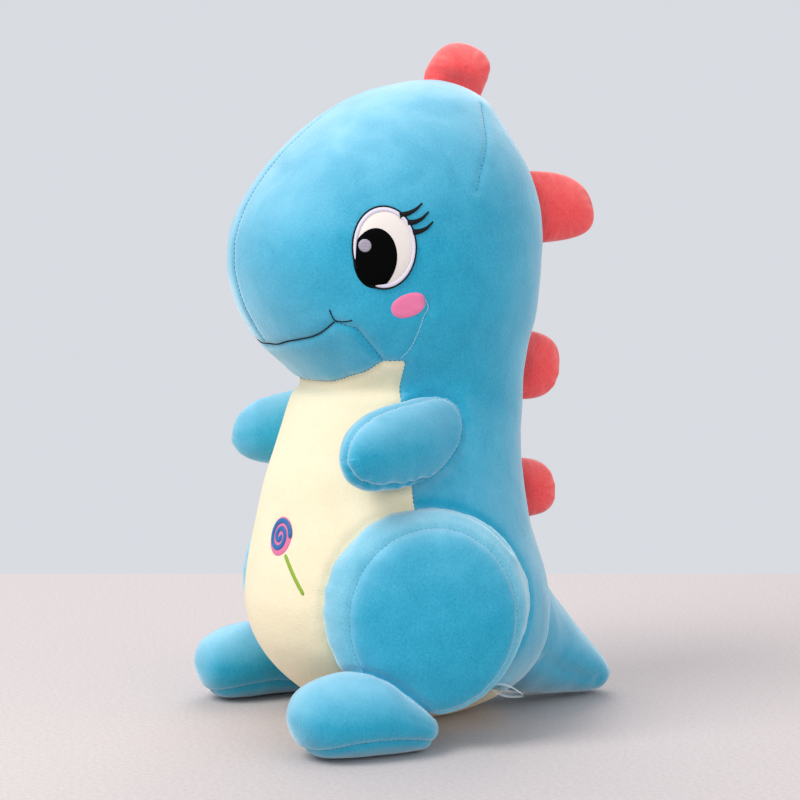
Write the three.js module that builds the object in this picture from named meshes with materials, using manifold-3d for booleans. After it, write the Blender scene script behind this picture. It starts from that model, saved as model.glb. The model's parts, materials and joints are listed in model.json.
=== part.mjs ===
// A stuffed sitting dinosaur, 450 mm tall, cut and sewn from plush panels over polyester fibre.
// Millimetres, +Z up. It faces -Y, and its own left is +X. The origin is on the floor, under the
// middle of its box. Soft pieces that move (arms, legs, tail, spikes) are separate bodies whose
// inner ends are round about the line they bend on, so that they turn without touching the trunk.
import * as THREE from 'three';
import { mergeVertices } from 'three/addons/utils/BufferGeometryUtils.js';
import Module from 'manifold-3d';

const wasm = await Module();
wasm.setup();

// ---- Driving dimensions -------------------------------------------------------------------
const SKIN = 2;            // plush panel, pile and backing together
const GAP = 0.3;           // between pieces that touch
const TURN_GAP = 0.8;      // between a limb's round root and its socket
const SEAM = 0.3;          // kerf between two sewn panels
const SMOOTH = 0.08;       // facets flatter than this are joined
const REACH = 400;         // longer than the toy, for cutters
const FAR = REACH / 2;

// Trunk and head are one bag. Each row is one section, from the crest of the head down to the
// seat: front y, front z, back y, back z, half width.
const CREST = [27, 423.5];
const SEAT = [15, -6];
const SECTIONS = [
  [-16, 417.5, 56, 411, 40],
  [-50, 401.5, 72, 387, 64],
  [-79, 378, 85, 366, 79],
  [-101, 352, 93.5, 342, 87],
  [-114, 327, 96.5, 320, 90],
  [-117, 305, 96, 302, 90],
  [-114, 286, 95, 284, 88],
  [-106, 267, 92, 267, 86],
  [-92, 248, 87, 250, 81],
  [-67, 228, 83, 229, 75],
  [-73, 214, 83, 211, 75],
  [-82, 187, 81, 187, 80],
  [-90, 163, 81, 163, 86],
  [-97, 131, 86, 131, 94],
  [-103, 99, 96, 99, 100],
  [-104, 76, 101, 74, 99],
  [-97, 53, 101, 49, 91],
  [-78, 29, 90, 24, 75],
  [-45, 8, 64, 4, 50],
];
const BAG_AROUND = 22;
const BAG_ALONG = 24;

const BELLY_EDGE_Y = -30;                   // the belly's side seams lie in this plane
const SEAT_CENTRE = [0, 14];                // the cream seat panel, seen from below
const SEAT_RADII = [64, 50];
// Seams of the chin, seen from the side as (y, z).
const MOUTH = [[-130, 248], [-97, 249.5], [-91, 253], [-81, 257.5], [-74, 266]];
const CHEEK = [[-62, 262], [-43, 241]];
const CHIN = [[-50, 234], [-62, 228.5], [-130, 222]];

const EYE = { y: -49, z: 311.9, ry: 18.4, rz: 25 };
const PUPIL = { y: -54.2, z: 306, ry: 13.2, rz: 19 };
const GLINT = { y: -61.5, z: 313, ry: 4, rz: 4 };
const EYE_BORDER = 1.8;
const LASHES = [[[10, 20], [23.5, 27]], [[15, 15], [27, 21.8]], [[17.5, 9.5], [29.7, 15.7]]];
const LASH_WIDTH = 2;
const BLUSH = { y: -33.4, z: 276.5, length: 22, height: 14.5, tilt: 20 };
const MOUTH_LINE = MOUTH.map(([y, z]) => [y, z + 1]);
const MOUTH_THREAD = 1.8;
const PATCH = 1;           // thickness of one layer of embroidery
const THIN_PATCH = 0.6;
const FACE_FROM_X = 10;    // the face's trim lies outside this x
const MOUTH_FORK = [[[-74, 267], [-77, 273]], [[-74, 267], [-65, 267.5]]];
const CANDY = { x: 26, z: 130, radius: 12.5 };
const CANDY_STICK = [[29, 117], [51, 91.5]];
const CANDY_STICK_WIDTH = 3;

const ARM = {
  root: [71, -8, 193], tip: [95.5, -84.5, 184], normal: [0.955, -0.17, 0.24], pivot: [77.6, -16, 190],
  // along the arm as a part of its length: half height, half thickness
  rows: [
    [-0.13, 20, 12], [0.02, 24.5, 16], [0.25, 26, 19], [0.52, 25.5, 19], [0.77, 21.5, 17], [0.94, 13, 10],
  ],
  ends: [-0.2, 1],
};

// The thigh is a round cushion about the hip's axis, which points out and a little forwards.
const HIP = { at: [97, -27.5, 84], turn: 17 };
// Along that axis: distance, radius. The outer panel's seam is at THIGH_SEAM.
const THIGH = [
  [-32, 0], [-32, 48], [-27, 58], [-13, 63], [-3, 61.5], [5, 55], [10.5, 45], [14, 29], [15.5, 12], [16, 0],
];
const THIGH_SEAM = 5;
const FOOT = {
  // y, middle x, half width, bottom, top
  rows: [
    [-109, 88, 17, 12, 41], [-97, 89, 24.5, 2.5, 48.5], [-80, 90, 27, 0, 52],
    [-60, 92, 26.5, 0, 50], [-42, 92, 24, 0, 42], [-26, 91, 18, 2, 33],
  ],
  toe: [-114.5, 88, 27], heel: [-15, 90, 16], sole: 8,
};
const FOOT_CUT = 64;                        // the foot ends this far from the hip's axis

const TAIL = {
  pivot: [0, 86], knuckle: 35, ceiling: 56, floor: 2,
  // y, half width, bottom z, top z
  rows: [[105, 37, 2, 76], [124, 30, 2, 61], [141, 22, 2, 42], [154, 14, 3, 25]],
  start: [104, 38], tip: [162, 12],
};

// Spikes: the middle of the base on the back seam (y, z), the angle that it faces, from +Y
// towards +Z, its length along the seam, its height, and how far its top leans up the seam.
const SPIKES = [
  { name: 'crown', base: [38.5, 420], faces: 72, length: 44, height: 31, lean: -2 },
  { name: 'nape', base: [95, 340], faces: 13, length: 50, height: 52, lean: -11 },
  { name: 'back', base: [85.3, 234], faces: -7, length: 48, height: 36.5, lean: 1 },
  { name: 'lower_back', base: [84, 148], faces: 7, length: 42, height: 34.5, lean: -5 },
];
const SPIKE_THICK = 20;
const SPIKE_LIFT = 2.5;                     // the fold line stands this far off the seam

const LABEL = { at: [62, 36, 18], length: 24, width: 11, thick: 1.6, turn: 20, drop: 22 };

// ---- Finishes ------------------------------------------------------------------------------
const finish = (color, roughness) => new THREE.MeshStandardMaterial({ color, roughness, metalness: 0 });
const TEAL = finish(0x4fb3d0, 0.9);
const PALE_TEAL = finish(0x7cc3da, 0.9);
const CREAM = finish(0xfdf1d2, 0.9);
const CORAL = finish(0xfb6468, 0.9);
const IVORY = finish(0xe8dcd6, 0.8);
const BLACK = finish(0x0c0b0d, 0.6);
const LILAC = finish(0x9c91a0, 0.7);
const PINK = finish(0xf27ea7, 0.8);
const CANDY_BLUE = finish(0x2a78bd, 0.7);
const STICK_GREEN = finish(0x7db81e, 0.7);
const LABEL_WHITE = finish(0xf4f2f0, 0.6);
const FIBRE = finish(0xf2f1ec, 1);

// ---- Solids --------------------------------------------------------------------------------
/** The closed solid of a geometry whose faces point out. */
function solid(geometry) {
  const bare = geometry.index ? geometry.toNonIndexed() : geometry.clone();
  bare.deleteAttribute('normal');
  bare.deleteAttribute('uv');
  const merged = mergeVertices(bare, 1e-4);
  return new wasm.Manifold(new wasm.Mesh({
    numProp: 3,
    vertProperties: new Float32Array(merged.attributes.position.array),
    triVerts: new Uint32Array(merged.index.array),
  }));
}

/** A three.js geometry from a solid. */
function geometryOf(body) {
  const mesh = body.simplify(SMOOTH).getMesh();
  const geometry = new THREE.BufferGeometry();
  geometry.setAttribute('position', new THREE.BufferAttribute(new Float32Array(mesh.vertProperties), 3));
  geometry.setIndex(new THREE.BufferAttribute(new Uint32Array(mesh.triVerts), 1));
  geometry.computeVertexNormals();
  return geometry;
}

/** A closed surface from rings of points between two poles, moved out along its normals. */
function ringSolid(rings, firstPole, lastPole, grow = 0) {
  const around = rings[0].length;
  const points = [firstPole, ...rings.flat(), lastPole];
  const index = [];
  const at = (ring, i) => 1 + ring * around + (i % around);
  for (let i = 0; i < around; i += 1) {
    index.push(0, at(0, i), at(0, i + 1));
    for (let ring = 0; ring + 1 < rings.length; ring += 1) {
      index.push(at(ring, i), at(ring + 1, i), at(ring + 1, i + 1));
      index.push(at(ring, i), at(ring + 1, i + 1), at(ring, i + 1));
    }
    index.push(at(rings.length - 1, i + 1), at(rings.length - 1, i), points.length - 1);
  }
  const geometry = new THREE.BufferGeometry();
  geometry.setAttribute('position', new THREE.Float32BufferAttribute(points.flat(), 3));
  geometry.setIndex(index);
  geometry.computeVertexNormals();
  const position = geometry.attributes.position;
  const normal = geometry.attributes.normal;
  const sign = signedVolume(geometry) < 0 ? -1 : 1;
  for (let i = 0; i < position.count; i += 1) {
    position.setXYZ(
      i,
      position.getX(i) + sign * grow * normal.getX(i),
      position.getY(i) + sign * grow * normal.getY(i),
      position.getZ(i) + sign * grow * normal.getZ(i),
    );
  }
  if (sign < 0) {
    geometry.setIndex([...geometry.index.array].reverse());
  }
  return geometry;
}

function signedVolume(geometry) {
  const { position } = geometry.attributes;
  const corner = [0, 1, 2].map(() => new THREE.Vector3());
  let volume = 0;
  for (let i = 0; i < geometry.index.count; i += 3) {
    corner.forEach((vertex, k) => vertex.fromBufferAttribute(position, geometry.index.getX(i + k)));
    volume += corner[0].dot(corner[1].cross(corner[2]));
  }
  return volume;
}

/** A closed outline in (y, z), as a solid along x. */
function prismX(outline, from = -FAR, to = FAR) {
  const shape = new THREE.Shape(outline.map(([y, z]) => new THREE.Vector2(y, z)));
  const geometry = new THREE.ExtrudeGeometry(shape, { depth: to - from, bevelEnabled: false });
  geometry.applyMatrix4(new THREE.Matrix4().set(0, 0, 1, from, 1, 0, 0, 0, 0, 1, 0, 0, 0, 0, 0, 1));
  return solid(geometry);
}

/** A closed outline in (x, z), as a solid along y. */
function prismY(outline, from, to) {
  const shape = new THREE.Shape(outline.map(([x, z]) => new THREE.Vector2(x, z)));
  const geometry = new THREE.ExtrudeGeometry(shape, { depth: to - from, bevelEnabled: false });
  geometry.applyMatrix4(new THREE.Matrix4().set(1, 0, 0, 0, 0, 0, -1, to, 0, 1, 0, 0, 0, 0, 0, 1));
  return solid(geometry);
}

function block(low, high) {
  const size = high.map((value, i) => value - low[i]);
  return solid(new THREE.BoxGeometry(...size).translate(...low.map((value, i) => value + size[i] / 2)));
}

const halfSpaceX = (side, from) => (side > 0
  ? block([from, -FAR, -FAR], [FAR, FAR, FAR + REACH])
  : block([-FAR, -FAR, -FAR], [-from, FAR, FAR + REACH]));

function ellipse({ y, z, ry, rz }, grow = 0, steps = 20) {
  return Array.from({ length: steps }, (_, i) => {
    const angle = (2 * Math.PI * i) / steps;
    return [y + (ry + grow) * Math.cos(angle), z + (rz + grow) * Math.sin(angle)];
  });
}

/** The outline of a round-ended stroke of one width from one point to another. */
function stroke([from, to], width, steps = 4) {
  const along = Math.atan2(to[1] - from[1], to[0] - from[0]);
  const end = (centre, start) => Array.from({ length: steps + 1 }, (_, i) => {
    const angle = start + (Math.PI * i) / steps;
    return [centre[0] + (width / 2) * Math.cos(angle), centre[1] + (width / 2) * Math.sin(angle)];
  });
  return [...end(from, along + Math.PI / 2), ...end(to, along - Math.PI / 2)];
}

const strokes = (line, width, make) => line.slice(1)
  .map((point, i) => make(stroke([line[i], point], width)))
  .reduce((all, piece) => all.add(piece));

/** Catmull-Rom through rows of numbers, at a place counted in rows. */
function rowAt(rows, place) {
  const i = Math.min(Math.max(Math.floor(place), 1), rows.length - 3);
  const t = place - i;
  const [a, b, c, d] = [rows[i - 1], rows[i], rows[i + 1], rows[i + 2]];
  return b.map((value, k) => value + 0.5 * t * (c[k] - a[k]
    + t * (2 * a[k] - 5 * value + 4 * c[k] - d[k] + t * (3 * (value - c[k]) + d[k] - a[k]))));
}

// ---- Trunk and head ------------------------------------------------------------------------
const BAG_ROWS = (() => {
  const mirrored = ([fy, fz, by, bz, half]) => [by, bz, fy, fz, -half];
  return [
    mirrored(SECTIONS[0]),
    [...CREST, ...CREST, 0],
    ...SECTIONS,
    [...SEAT, ...SEAT, 0],
    mirrored(SECTIONS[SECTIONS.length - 1]),
  ];
})();

/** The bag's surface, grown outwards, with a flat seat that keeps the same growth. */
function bag(grow, along = BAG_ALONG, around = BAG_AROUND) {
  const last = SECTIONS.length + 1;
  const rings = [];
  for (let i = 1; i < along; i += 1) {
    const [fy, fz, by, bz, half] = rowAt(BAG_ROWS, 1 + (last * i) / along);
    rings.push(Array.from({ length: around }, (_, k) => {
      const angle = (2 * Math.PI * k) / around;
      const back = (1 - Math.cos(angle)) / 2;
      return [half * Math.sin(angle), fy + (by - fy) * back, fz + (bz - fz) * back];
    }));
  }
  const geometry = ringSolid(rings, [0, ...CREST], [0, ...SEAT], grow);
  return solid(geometry).intersect(block([-FAR, -FAR, -grow], [FAR, FAR, FAR + REACH]));
}

const outside = bag(0);
const shellBetween = (inner, outer) => bag(outer).subtract(bag(inner));
const skin = outside.subtract(bag(-SKIN));

const mirrorX = (body) => body.mirror([1, 0, 0]);

// ---- Legs ----------------------------------------------------------------------------------
const hipFrame = new THREE.Matrix4()
  .makeRotationZ(THREE.MathUtils.degToRad(-HIP.turn))
  .setPosition(...HIP.at);

/** The thigh's cushion, grown outwards: a lathe about Y, laid on the hip's axis. */
function thighCushion(grow, steps = 18) {
  const middle = (THIGH[0][0] + THIGH[THIGH.length - 1][0]) / 2;
  const half = THIGH[THIGH.length - 1][0] - middle;
  const profile = THIGH.map(([out, radius]) => {
    const nearFace = (out - middle) / half;
    return new THREE.Vector2(radius && radius + grow, out + grow * Math.sign(nearFace) * nearFace ** 2);
  });
  const geometry = new THREE.LatheGeometry(profile, steps).rotateZ(-Math.PI / 2).applyMatrix4(hipFrame);
  return outward(geometry);
}

/** A solid from a geometry that may be inside out. */
function outward(geometry) {
  const indexed = mergeVertices(bareCopy(geometry), 1e-4);
  if (signedVolume(indexed) < 0) {
    indexed.setIndex([...indexed.index.array].reverse());
  }
  return solid(indexed);
}

function bareCopy(geometry) {
  const copy = geometry.clone();
  copy.deleteAttribute('normal');
  copy.deleteAttribute('uv');
  return copy;
}

/** The foot, grown outwards: flat below, round above, closed by a toe and a heel. */
function footBlock(grow, steps = 10) {
  const rings = FOOT.rows.map(([y, x, half, low, high]) => Array.from({ length: steps }, (_, k) => {
    const angle = (2 * Math.PI * k) / steps;
    return [x + half * Math.cos(angle), y, (low + high) / 2 + ((high - low) / 2) * Math.sin(angle)];
  }));
  const pole = ([y, x, z]) => [x, y, z];
  return solid(ringSolid(rings, pole(FOOT.toe), pole(FOOT.heel), grow));
}

/** Everything within a radius of the hip's axis. */
function hipRound(radius) {
  const geometry = new THREE.CylinderGeometry(radius, radius, REACH, 40).rotateZ(-Math.PI / 2);
  return solid(geometry.applyMatrix4(hipFrame));
}

/** All that lies beyond the seam of the thigh's outer panel, moved in by a kerf. */
function beyondThighSeam(kerf) {
  const slab = new THREE.BoxGeometry(REACH, REACH, REACH).translate(THIGH_SEAM + FAR - kerf, 0, 0);
  return solid(slab.applyMatrix4(hipFrame));
}

const thighSkin = thighCushion(0).subtract(thighCushion(-SKIN));
const underFoot = (top) => block([0, -FAR, -1], [FAR, FAR, top]);
const footSkin = footBlock(0).subtract(footBlock(-SKIN)).subtract(hipRound(FOOT_CUT));
const leg = {
  thigh_outer_panel: [thighSkin.intersect(beyondThighSeam(0)), TEAL],
  thigh_gusset: [thighSkin.subtract(beyondThighSeam(SEAM)), PALE_TEAL],
  thigh_stuffing: [thighCushion(-SKIN - GAP), FIBRE],
  foot_upper: [footSkin.subtract(underFoot(FOOT.sole + SEAM)), TEAL],
  foot_sole: [footSkin.intersect(underFoot(FOOT.sole)), TEAL],
  foot_stuffing: [footBlock(-SKIN - GAP).subtract(hipRound(FOOT_CUT)), FIBRE],
};
const hipSocket = thighCushion(TURN_GAP, 28);

// ---- Arms ----------------------------------------------------------------------------------
const vector = (list) => new THREE.Vector3(...list);

/** The arm's pod, grown outwards. */
function armPod(grow, steps = 12) {
  const root = vector(ARM.root);
  const along = vector(ARM.tip).sub(root);
  const up = new THREE.Vector3(0, 0, 1);
  const across = new THREE.Vector3().crossVectors(along, up).normalize();
  const place = (part) => root.clone().addScaledVector(along, part);
  const rings = ARM.rows.map(([part, half, thick]) => Array.from({ length: steps }, (_, k) => {
    const angle = (2 * Math.PI * k) / steps;
    return place(part).addScaledVector(up, half * Math.sin(angle))
      .addScaledVector(across, thick * Math.cos(angle)).toArray();
  }));
  return solid(ringSolid(rings, place(ARM.ends[0]).toArray(), place(ARM.ends[1]).toArray(), grow));
}

/** All that lies beyond a plane square to the arm's hinge, a distance out from its pivot. */
function beyondArmPlane(distance) {
  const slab = new THREE.BoxGeometry(REACH, REACH, REACH).translate(0, 0, FAR);
  const normal = vector(ARM.normal).normalize();
  const turn = new THREE.Quaternion().setFromUnitVectors(new THREE.Vector3(0, 0, 1), normal);
  const at = vector(ARM.pivot).addScaledVector(normal, distance);
  slab.applyMatrix4(new THREE.Matrix4().compose(at, turn, new THREE.Vector3(1, 1, 1)));
  return solid(slab);
}

const ARM_STANDOFF = 1.6;
const ARM_SEAM_OFF = 24;                    // the arm's two panels meet this far out from its root
const armSkin = armPod(0).subtract(armPod(-SKIN)).intersect(beyondArmPlane(ARM_STANDOFF));
const arm = {
  outer_panel: [armSkin.intersect(beyondArmPlane(ARM_SEAM_OFF)), TEAL],
  inner_panel: [armSkin.subtract(beyondArmPlane(ARM_SEAM_OFF - SEAM)), TEAL],
  stuffing: [armPod(-SKIN - GAP).intersect(beyondArmPlane(ARM_STANDOFF)), FIBRE],
};

// ---- Tail ----------------------------------------------------------------------------------
/** A round post about the tail's hinge, between two heights. */
function tailPost(radius, low, high, steps = 20) {
  const geometry = new THREE.CylinderGeometry(radius, radius, high - low, steps);
  geometry.rotateX(Math.PI / 2).translate(TAIL.pivot[0], TAIL.pivot[1], (low + high) / 2);
  return solid(geometry);
}

/** The tail with its round root, grown outwards. */
function tailPod(grow, steps = 12) {
  const rings = TAIL.rows.map(([y, half, low, high]) => Array.from({ length: steps }, (_, k) => {
    const angle = (2 * Math.PI * k) / steps;
    const side = Math.sign(Math.cos(angle)) * Math.abs(Math.cos(angle)) ** 0.8;
    return [half * side, y, (low + high) / 2 + ((high - low) / 2) * Math.sin(angle)];
  }));
  const tip = [0, ...TAIL.tip];
  const start = [0, ...TAIL.start];
  const cone = solid(ringSolid(rings, start, tip, grow));
  return cone.add(tailPost(TAIL.knuckle + grow, TAIL.floor - grow, TAIL.ceiling + grow));
}

const tailSkin = tailPod(0).subtract(tailPod(-SKIN));
const tail = {
  tail_panel_left: [tailSkin.intersect(halfSpaceX(1, SEAM / 2)), TEAL],
  tail_panel_right: [tailSkin.intersect(halfSpaceX(-1, SEAM / 2)), TEAL],
  tail_stuffing: [tailPod(-SKIN - GAP), FIBRE],
};
const tailSocket = tailPost(TAIL.knuckle + TURN_GAP, -1, TAIL.ceiling + TURN_GAP, 28);

// ---- Spikes --------------------------------------------------------------------------------
/** One spike in its own frame: u along the seam, v out from the fold line, w across. */
function spikePad({ length, height, lean }, grow) {
  const thick = SPIKE_THICK + 2 * grow;
  const round = thick * 0.3;
  const half = length / 2 + grow - round;
  const top = height - SPIKE_LIFT + grow - round;
  const shape = new THREE.Shape();
  shape.moveTo(-half, 0);
  shape.lineTo(half, 0);
  shape.bezierCurveTo(half + lean / 2, top * 0.75, lean + half * 0.7, top, lean, top);
  shape.bezierCurveTo(lean - half * 0.7, top, lean / 2 - half, top * 0.75, -half, 0);
  const pad = new THREE.ExtrudeGeometry(shape, {
    depth: thick - 2 * round, bevelThickness: round, bevelSize: round, bevelSegments: 1, curveSegments: 4,
  }).translate(0, 0, -thick / 2 + round);
  const rootLength = length - 4 + 2 * grow;
  const root = new THREE.CylinderGeometry(thick / 2, thick / 2, rootLength, 10).rotateZ(Math.PI / 2);
  const above = block([-FAR, 0, -FAR], [FAR, FAR, FAR]);
  return solid(pad).intersect(above).add(solid(root));
}

/** Puts a spike's own frame on the back seam. */
function spikePlace({ base, faces }) {
  const angle = THREE.MathUtils.degToRad(faces);
  const out = new THREE.Vector3(0, Math.cos(angle), Math.sin(angle));
  const alongSeam = new THREE.Vector3(0, -Math.sin(angle), Math.cos(angle));
  const across = new THREE.Vector3().crossVectors(alongSeam, out);
  const at = new THREE.Vector3(0, ...base).addScaledVector(out, SPIKE_LIFT);
  return new THREE.Matrix4().makeBasis(alongSeam, out, across).setPosition(at);
}

const placed = (body, matrix) => body.transform(matrix.elements);

const spikes = SPIKES.map((spike) => {
  const place = spikePlace(spike);
  const pad = placed(spikePad(spike, 0), place);
  const inner = placed(spikePad(spike, -SKIN), place);
  const cover = pad.subtract(inner);
  const groove = new THREE.CylinderGeometry(
    SPIKE_THICK / 2 + TURN_GAP, SPIKE_THICK / 2 + TURN_GAP, spike.length - 3, 16,
  ).rotateZ(Math.PI / 2);
  return {
    groove: placed(solid(groove), place),
    pieces: {
      [`${spike.name}_spike_left`]: [cover.intersect(halfSpaceX(1, SEAM / 2)), CORAL],
      [`${spike.name}_spike_right`]: [cover.intersect(halfSpaceX(-1, SEAM / 2)), CORAL],
      [`${spike.name}_spike_padding`]: [placed(spikePad(spike, -SKIN - GAP), place), FIBRE],
    },
  };
});

// ---- The trunk's panels --------------------------------------------------------------------
const moved = [hipSocket, mirrorX(hipSocket), tailSocket, ...spikes.map((spike) => spike.groove)];
const clearOfLimbs = (body) => moved.reduce((rest, cutter) => rest.subtract(cutter), body);

const chinOutline = [...MOUTH, ...CHEEK, ...CHIN];
const bellyOutline = [
  [BELLY_EDGE_Y, CHEEK[1][1]], ...[CHEEK[1], ...CHIN], [-130, -10], [BELLY_EDGE_Y, -10],
];
const shifted = (outline, dy, dz) => outline.map(([y, z]) => [y + dy, z + dz]);
const widened = (outline) => [[SEAM, 0], [-SEAM, 0], [0, SEAM], [0, -SEAM]]
  .map(([dy, dz]) => prismX(shifted(outline, dy, dz)))
  .reduce((all, piece) => all.add(piece));

/** The round cutter of the seat, seen from below. */
function seatRound(grow) {
  const geometry = new THREE.CylinderGeometry(1, 1, 30, 36).rotateX(Math.PI / 2);
  geometry.scale(SEAT_RADII[0] + grow, SEAT_RADII[1] + grow, 1).translate(...SEAT_CENTRE, 0);
  return solid(geometry);
}

const freeSkin = clearOfLimbs(skin);
const chinPanel = freeSkin.intersect(prismX(chinOutline));
const seatPanel = freeSkin.intersect(seatRound(0));
const besideThem = freeSkin.subtract(widened(chinOutline)).subtract(seatRound(SEAM));
const bellyPanel = besideThem.intersect(prismX(bellyOutline));
const sides = besideThem.subtract(widened(bellyOutline));

// ---- Sewn and embroidered trim ---------------------------------------------------------------
const patchLayer = shellBetween(GAP, GAP + PATCH);
const pupilLayer = shellBetween(2 * GAP + PATCH, 2 * GAP + 2 * PATCH);
const glintLayer = shellBetween(3 * GAP + 2 * PATCH, 3 * GAP + 2 * PATCH + THIN_PATCH);
const onLeft = (layer, outline) => layer.intersect(prismX(outline, FACE_FROM_X, FAR));

function pill({ y, z, length, height, tilt }) {
  const angle = THREE.MathUtils.degToRad(tilt);
  const reach = (length - height) / 2;
  const ends = [[-reach, 0], [reach, 0]]
    .map(([along]) => [y + along * Math.cos(angle), z + along * Math.sin(angle)]);
  return stroke(ends, height, 10);
}

const eyeHole = prismX(ellipse(EYE, GAP), 0, FAR);
const eyeRing = prismX(ellipse(EYE, EYE_BORDER), FACE_FROM_X);
const lashes = LASHES
  .map((lash) => stroke(lash.map(([y, z]) => [EYE.y + y, EYE.z + z]), LASH_WIDTH, 2))
  .map((outline) => prismX(outline, FACE_FROM_X))
  .reduce((all, piece) => all.add(piece));
const face = {
  eye_patch: [onLeft(patchLayer, ellipse(EYE)), IVORY],
  eye_outline_stitching: [patchLayer.intersect(eyeRing.add(lashes).subtract(eyeHole)), BLACK],
  pupil: [onLeft(pupilLayer, ellipse(PUPIL)), BLACK],
  eye_highlight: [onLeft(glintLayer, ellipse(GLINT, 0, 12)), LILAC],
  blush_patch: [onLeft(patchLayer, pill(BLUSH)), PINK],
};
const mouthLine = [MOUTH_LINE, ...MOUTH_FORK]
  .map((line) => strokes(line, MOUTH_THREAD, (outline) => prismX(outline)))
  .reduce((all, piece) => all.add(piece))
  .intersect(block([-FAR, -FAR, 0], [FAR, 0, REACH + FAR]));
const candyRound = (grow) => ellipse(
  { y: CANDY.x, z: CANDY.z, ry: CANDY.radius, rz: CANDY.radius }, grow,
);

/** The care label: a tab folded double, sewn into the seat's back seam. */
function careLabel() {
  const tab = new THREE.BoxGeometry(LABEL.width, LABEL.length, LABEL.thick);
  tab.translate(0, LABEL.length / 2, 0);
  tab.rotateX(THREE.MathUtils.degToRad(-LABEL.drop)).rotateZ(THREE.MathUtils.degToRad(-LABEL.turn));
  return solid(tab.translate(...LABEL.at)).subtract(bag(GAP)).subtract(tailPost(TAIL.knuckle + 2, -5, 90));
}

const trunk = {
  body_stuffing: [clearOfLimbs(bag(-SKIN - GAP)), FIBRE],
  side_panel_left: [sides.intersect(halfSpaceX(1, SEAM / 2)), TEAL],
  side_panel_right: [sides.intersect(halfSpaceX(-1, SEAM / 2)), TEAL],
  chin_panel: [chinPanel, TEAL],
  belly_panel: [bellyPanel, CREAM],
  seat_panel: [seatPanel, CREAM],
  mouth_stitching: [patchLayer.intersect(mouthLine), BLACK],
  lollipop_candy: [patchLayer.intersect(prismY(candyRound(0), -FAR, 0)), CANDY_BLUE],
  lollipop_stick: [
    patchLayer.intersect(prismY(stroke(CANDY_STICK, CANDY_STICK_WIDTH, 4), -FAR, 0))
      .subtract(prismY(candyRound(GAP), -FAR, 0)),
    STICK_GREEN,
  ],
  care_label: [careLabel(), LABEL_WHITE],
};

// ---- The toy ---------------------------------------------------------------------------------
const toy = new THREE.Group();
const addPieces = (pieces, name = (key) => key, change = (body) => body) => {
  for (const [key, [body, material]] of Object.entries(pieces)) {
    const mesh = new THREE.Mesh(geometryOf(change(body)), material);
    mesh.name = name(key);
    toy.add(mesh);
  }
};
addPieces(trunk);
for (const [side, change] of [['left', (body) => body], ['right', mirrorX]]) {
  addPieces(face, (key) => `${key}_${side}`, change);
  addPieces(arm, (key) => `arm_${side}_${key}`, change);
  addPieces(leg, (key) => `${key}_${side}`, change);
}
addPieces(tail);
spikes.forEach((spike) => addPieces(spike.pieces));

// The floor stays at z = 0, and the box's middle comes over the origin.
const box = new THREE.Box3().setFromObject(toy);
toy.position.set(-(box.min.x + box.max.x) / 2, -(box.min.y + box.max.y) / 2, -box.min.z);
toy.updateMatrixWorld(true);

export default toy;
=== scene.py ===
"""A stuffed sitting dinosaur, sewn from short-pile plush and firmly filled, around its frame.

Sizes are the pattern's millimetres: +Z up, it faces -Y, its own left is +X. A Bench carries them
into the frame's metres. Each sub-assembly is a class with its sizes as fields.
"""
from __future__ import annotations

import json
import logging
import math
from dataclasses import dataclass, field
from enum import Enum
from typing import Callable, Iterable, Sequence

import bmesh
import bpy
import numpy as np
from mathutils import Matrix, Vector, kdtree, noise

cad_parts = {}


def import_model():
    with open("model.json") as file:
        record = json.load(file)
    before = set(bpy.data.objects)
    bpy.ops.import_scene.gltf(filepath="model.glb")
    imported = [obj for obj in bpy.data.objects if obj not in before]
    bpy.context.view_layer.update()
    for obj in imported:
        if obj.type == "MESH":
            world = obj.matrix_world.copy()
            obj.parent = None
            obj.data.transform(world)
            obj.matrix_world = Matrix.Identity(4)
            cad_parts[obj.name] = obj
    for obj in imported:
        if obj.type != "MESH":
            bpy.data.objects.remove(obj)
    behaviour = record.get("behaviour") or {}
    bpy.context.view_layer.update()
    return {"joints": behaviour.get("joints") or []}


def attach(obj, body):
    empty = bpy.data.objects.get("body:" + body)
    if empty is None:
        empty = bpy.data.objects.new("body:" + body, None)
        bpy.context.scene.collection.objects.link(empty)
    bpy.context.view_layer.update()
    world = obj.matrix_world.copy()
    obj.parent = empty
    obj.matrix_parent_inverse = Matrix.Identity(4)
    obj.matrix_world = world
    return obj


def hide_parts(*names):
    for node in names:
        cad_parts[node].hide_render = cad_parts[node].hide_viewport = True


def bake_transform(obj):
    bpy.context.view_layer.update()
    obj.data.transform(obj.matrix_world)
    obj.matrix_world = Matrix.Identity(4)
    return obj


LOG = logging.getLogger("dinosaur")
MM = 0.001
TURN = 2 * math.pi
CLOTH_UV = "Cloth"
UV_PER_MM = 0.01
RAMP_ENDS = (0.3, 0.7)


class Slot(Enum):
    """The record's material slots."""

    TEAL = "teal_plush"
    PALE = "pale_teal_plush"
    CREAM = "cream_plush"
    CORAL = "coral_plush"
    IVORY = "ivory_satin"
    BLACK = "black_thread"
    LILAC = "lilac_thread"
    PINK = "pink_thread"
    CANDY = "candy_thread"
    GREEN = "green_thread"
    LABEL = "label_satin"


class Side(Enum):
    """The toy's own left and right, as the sign of x."""

    LEFT = 1
    RIGHT = -1

    @property
    def word(self) -> str:
        """The side's name in a piece's name."""
        return self.name.lower()

    @property
    def flip(self) -> np.ndarray:
        """What takes a point on the toy's left to this side."""
        return np.array([self.value, 1, 1])


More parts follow.
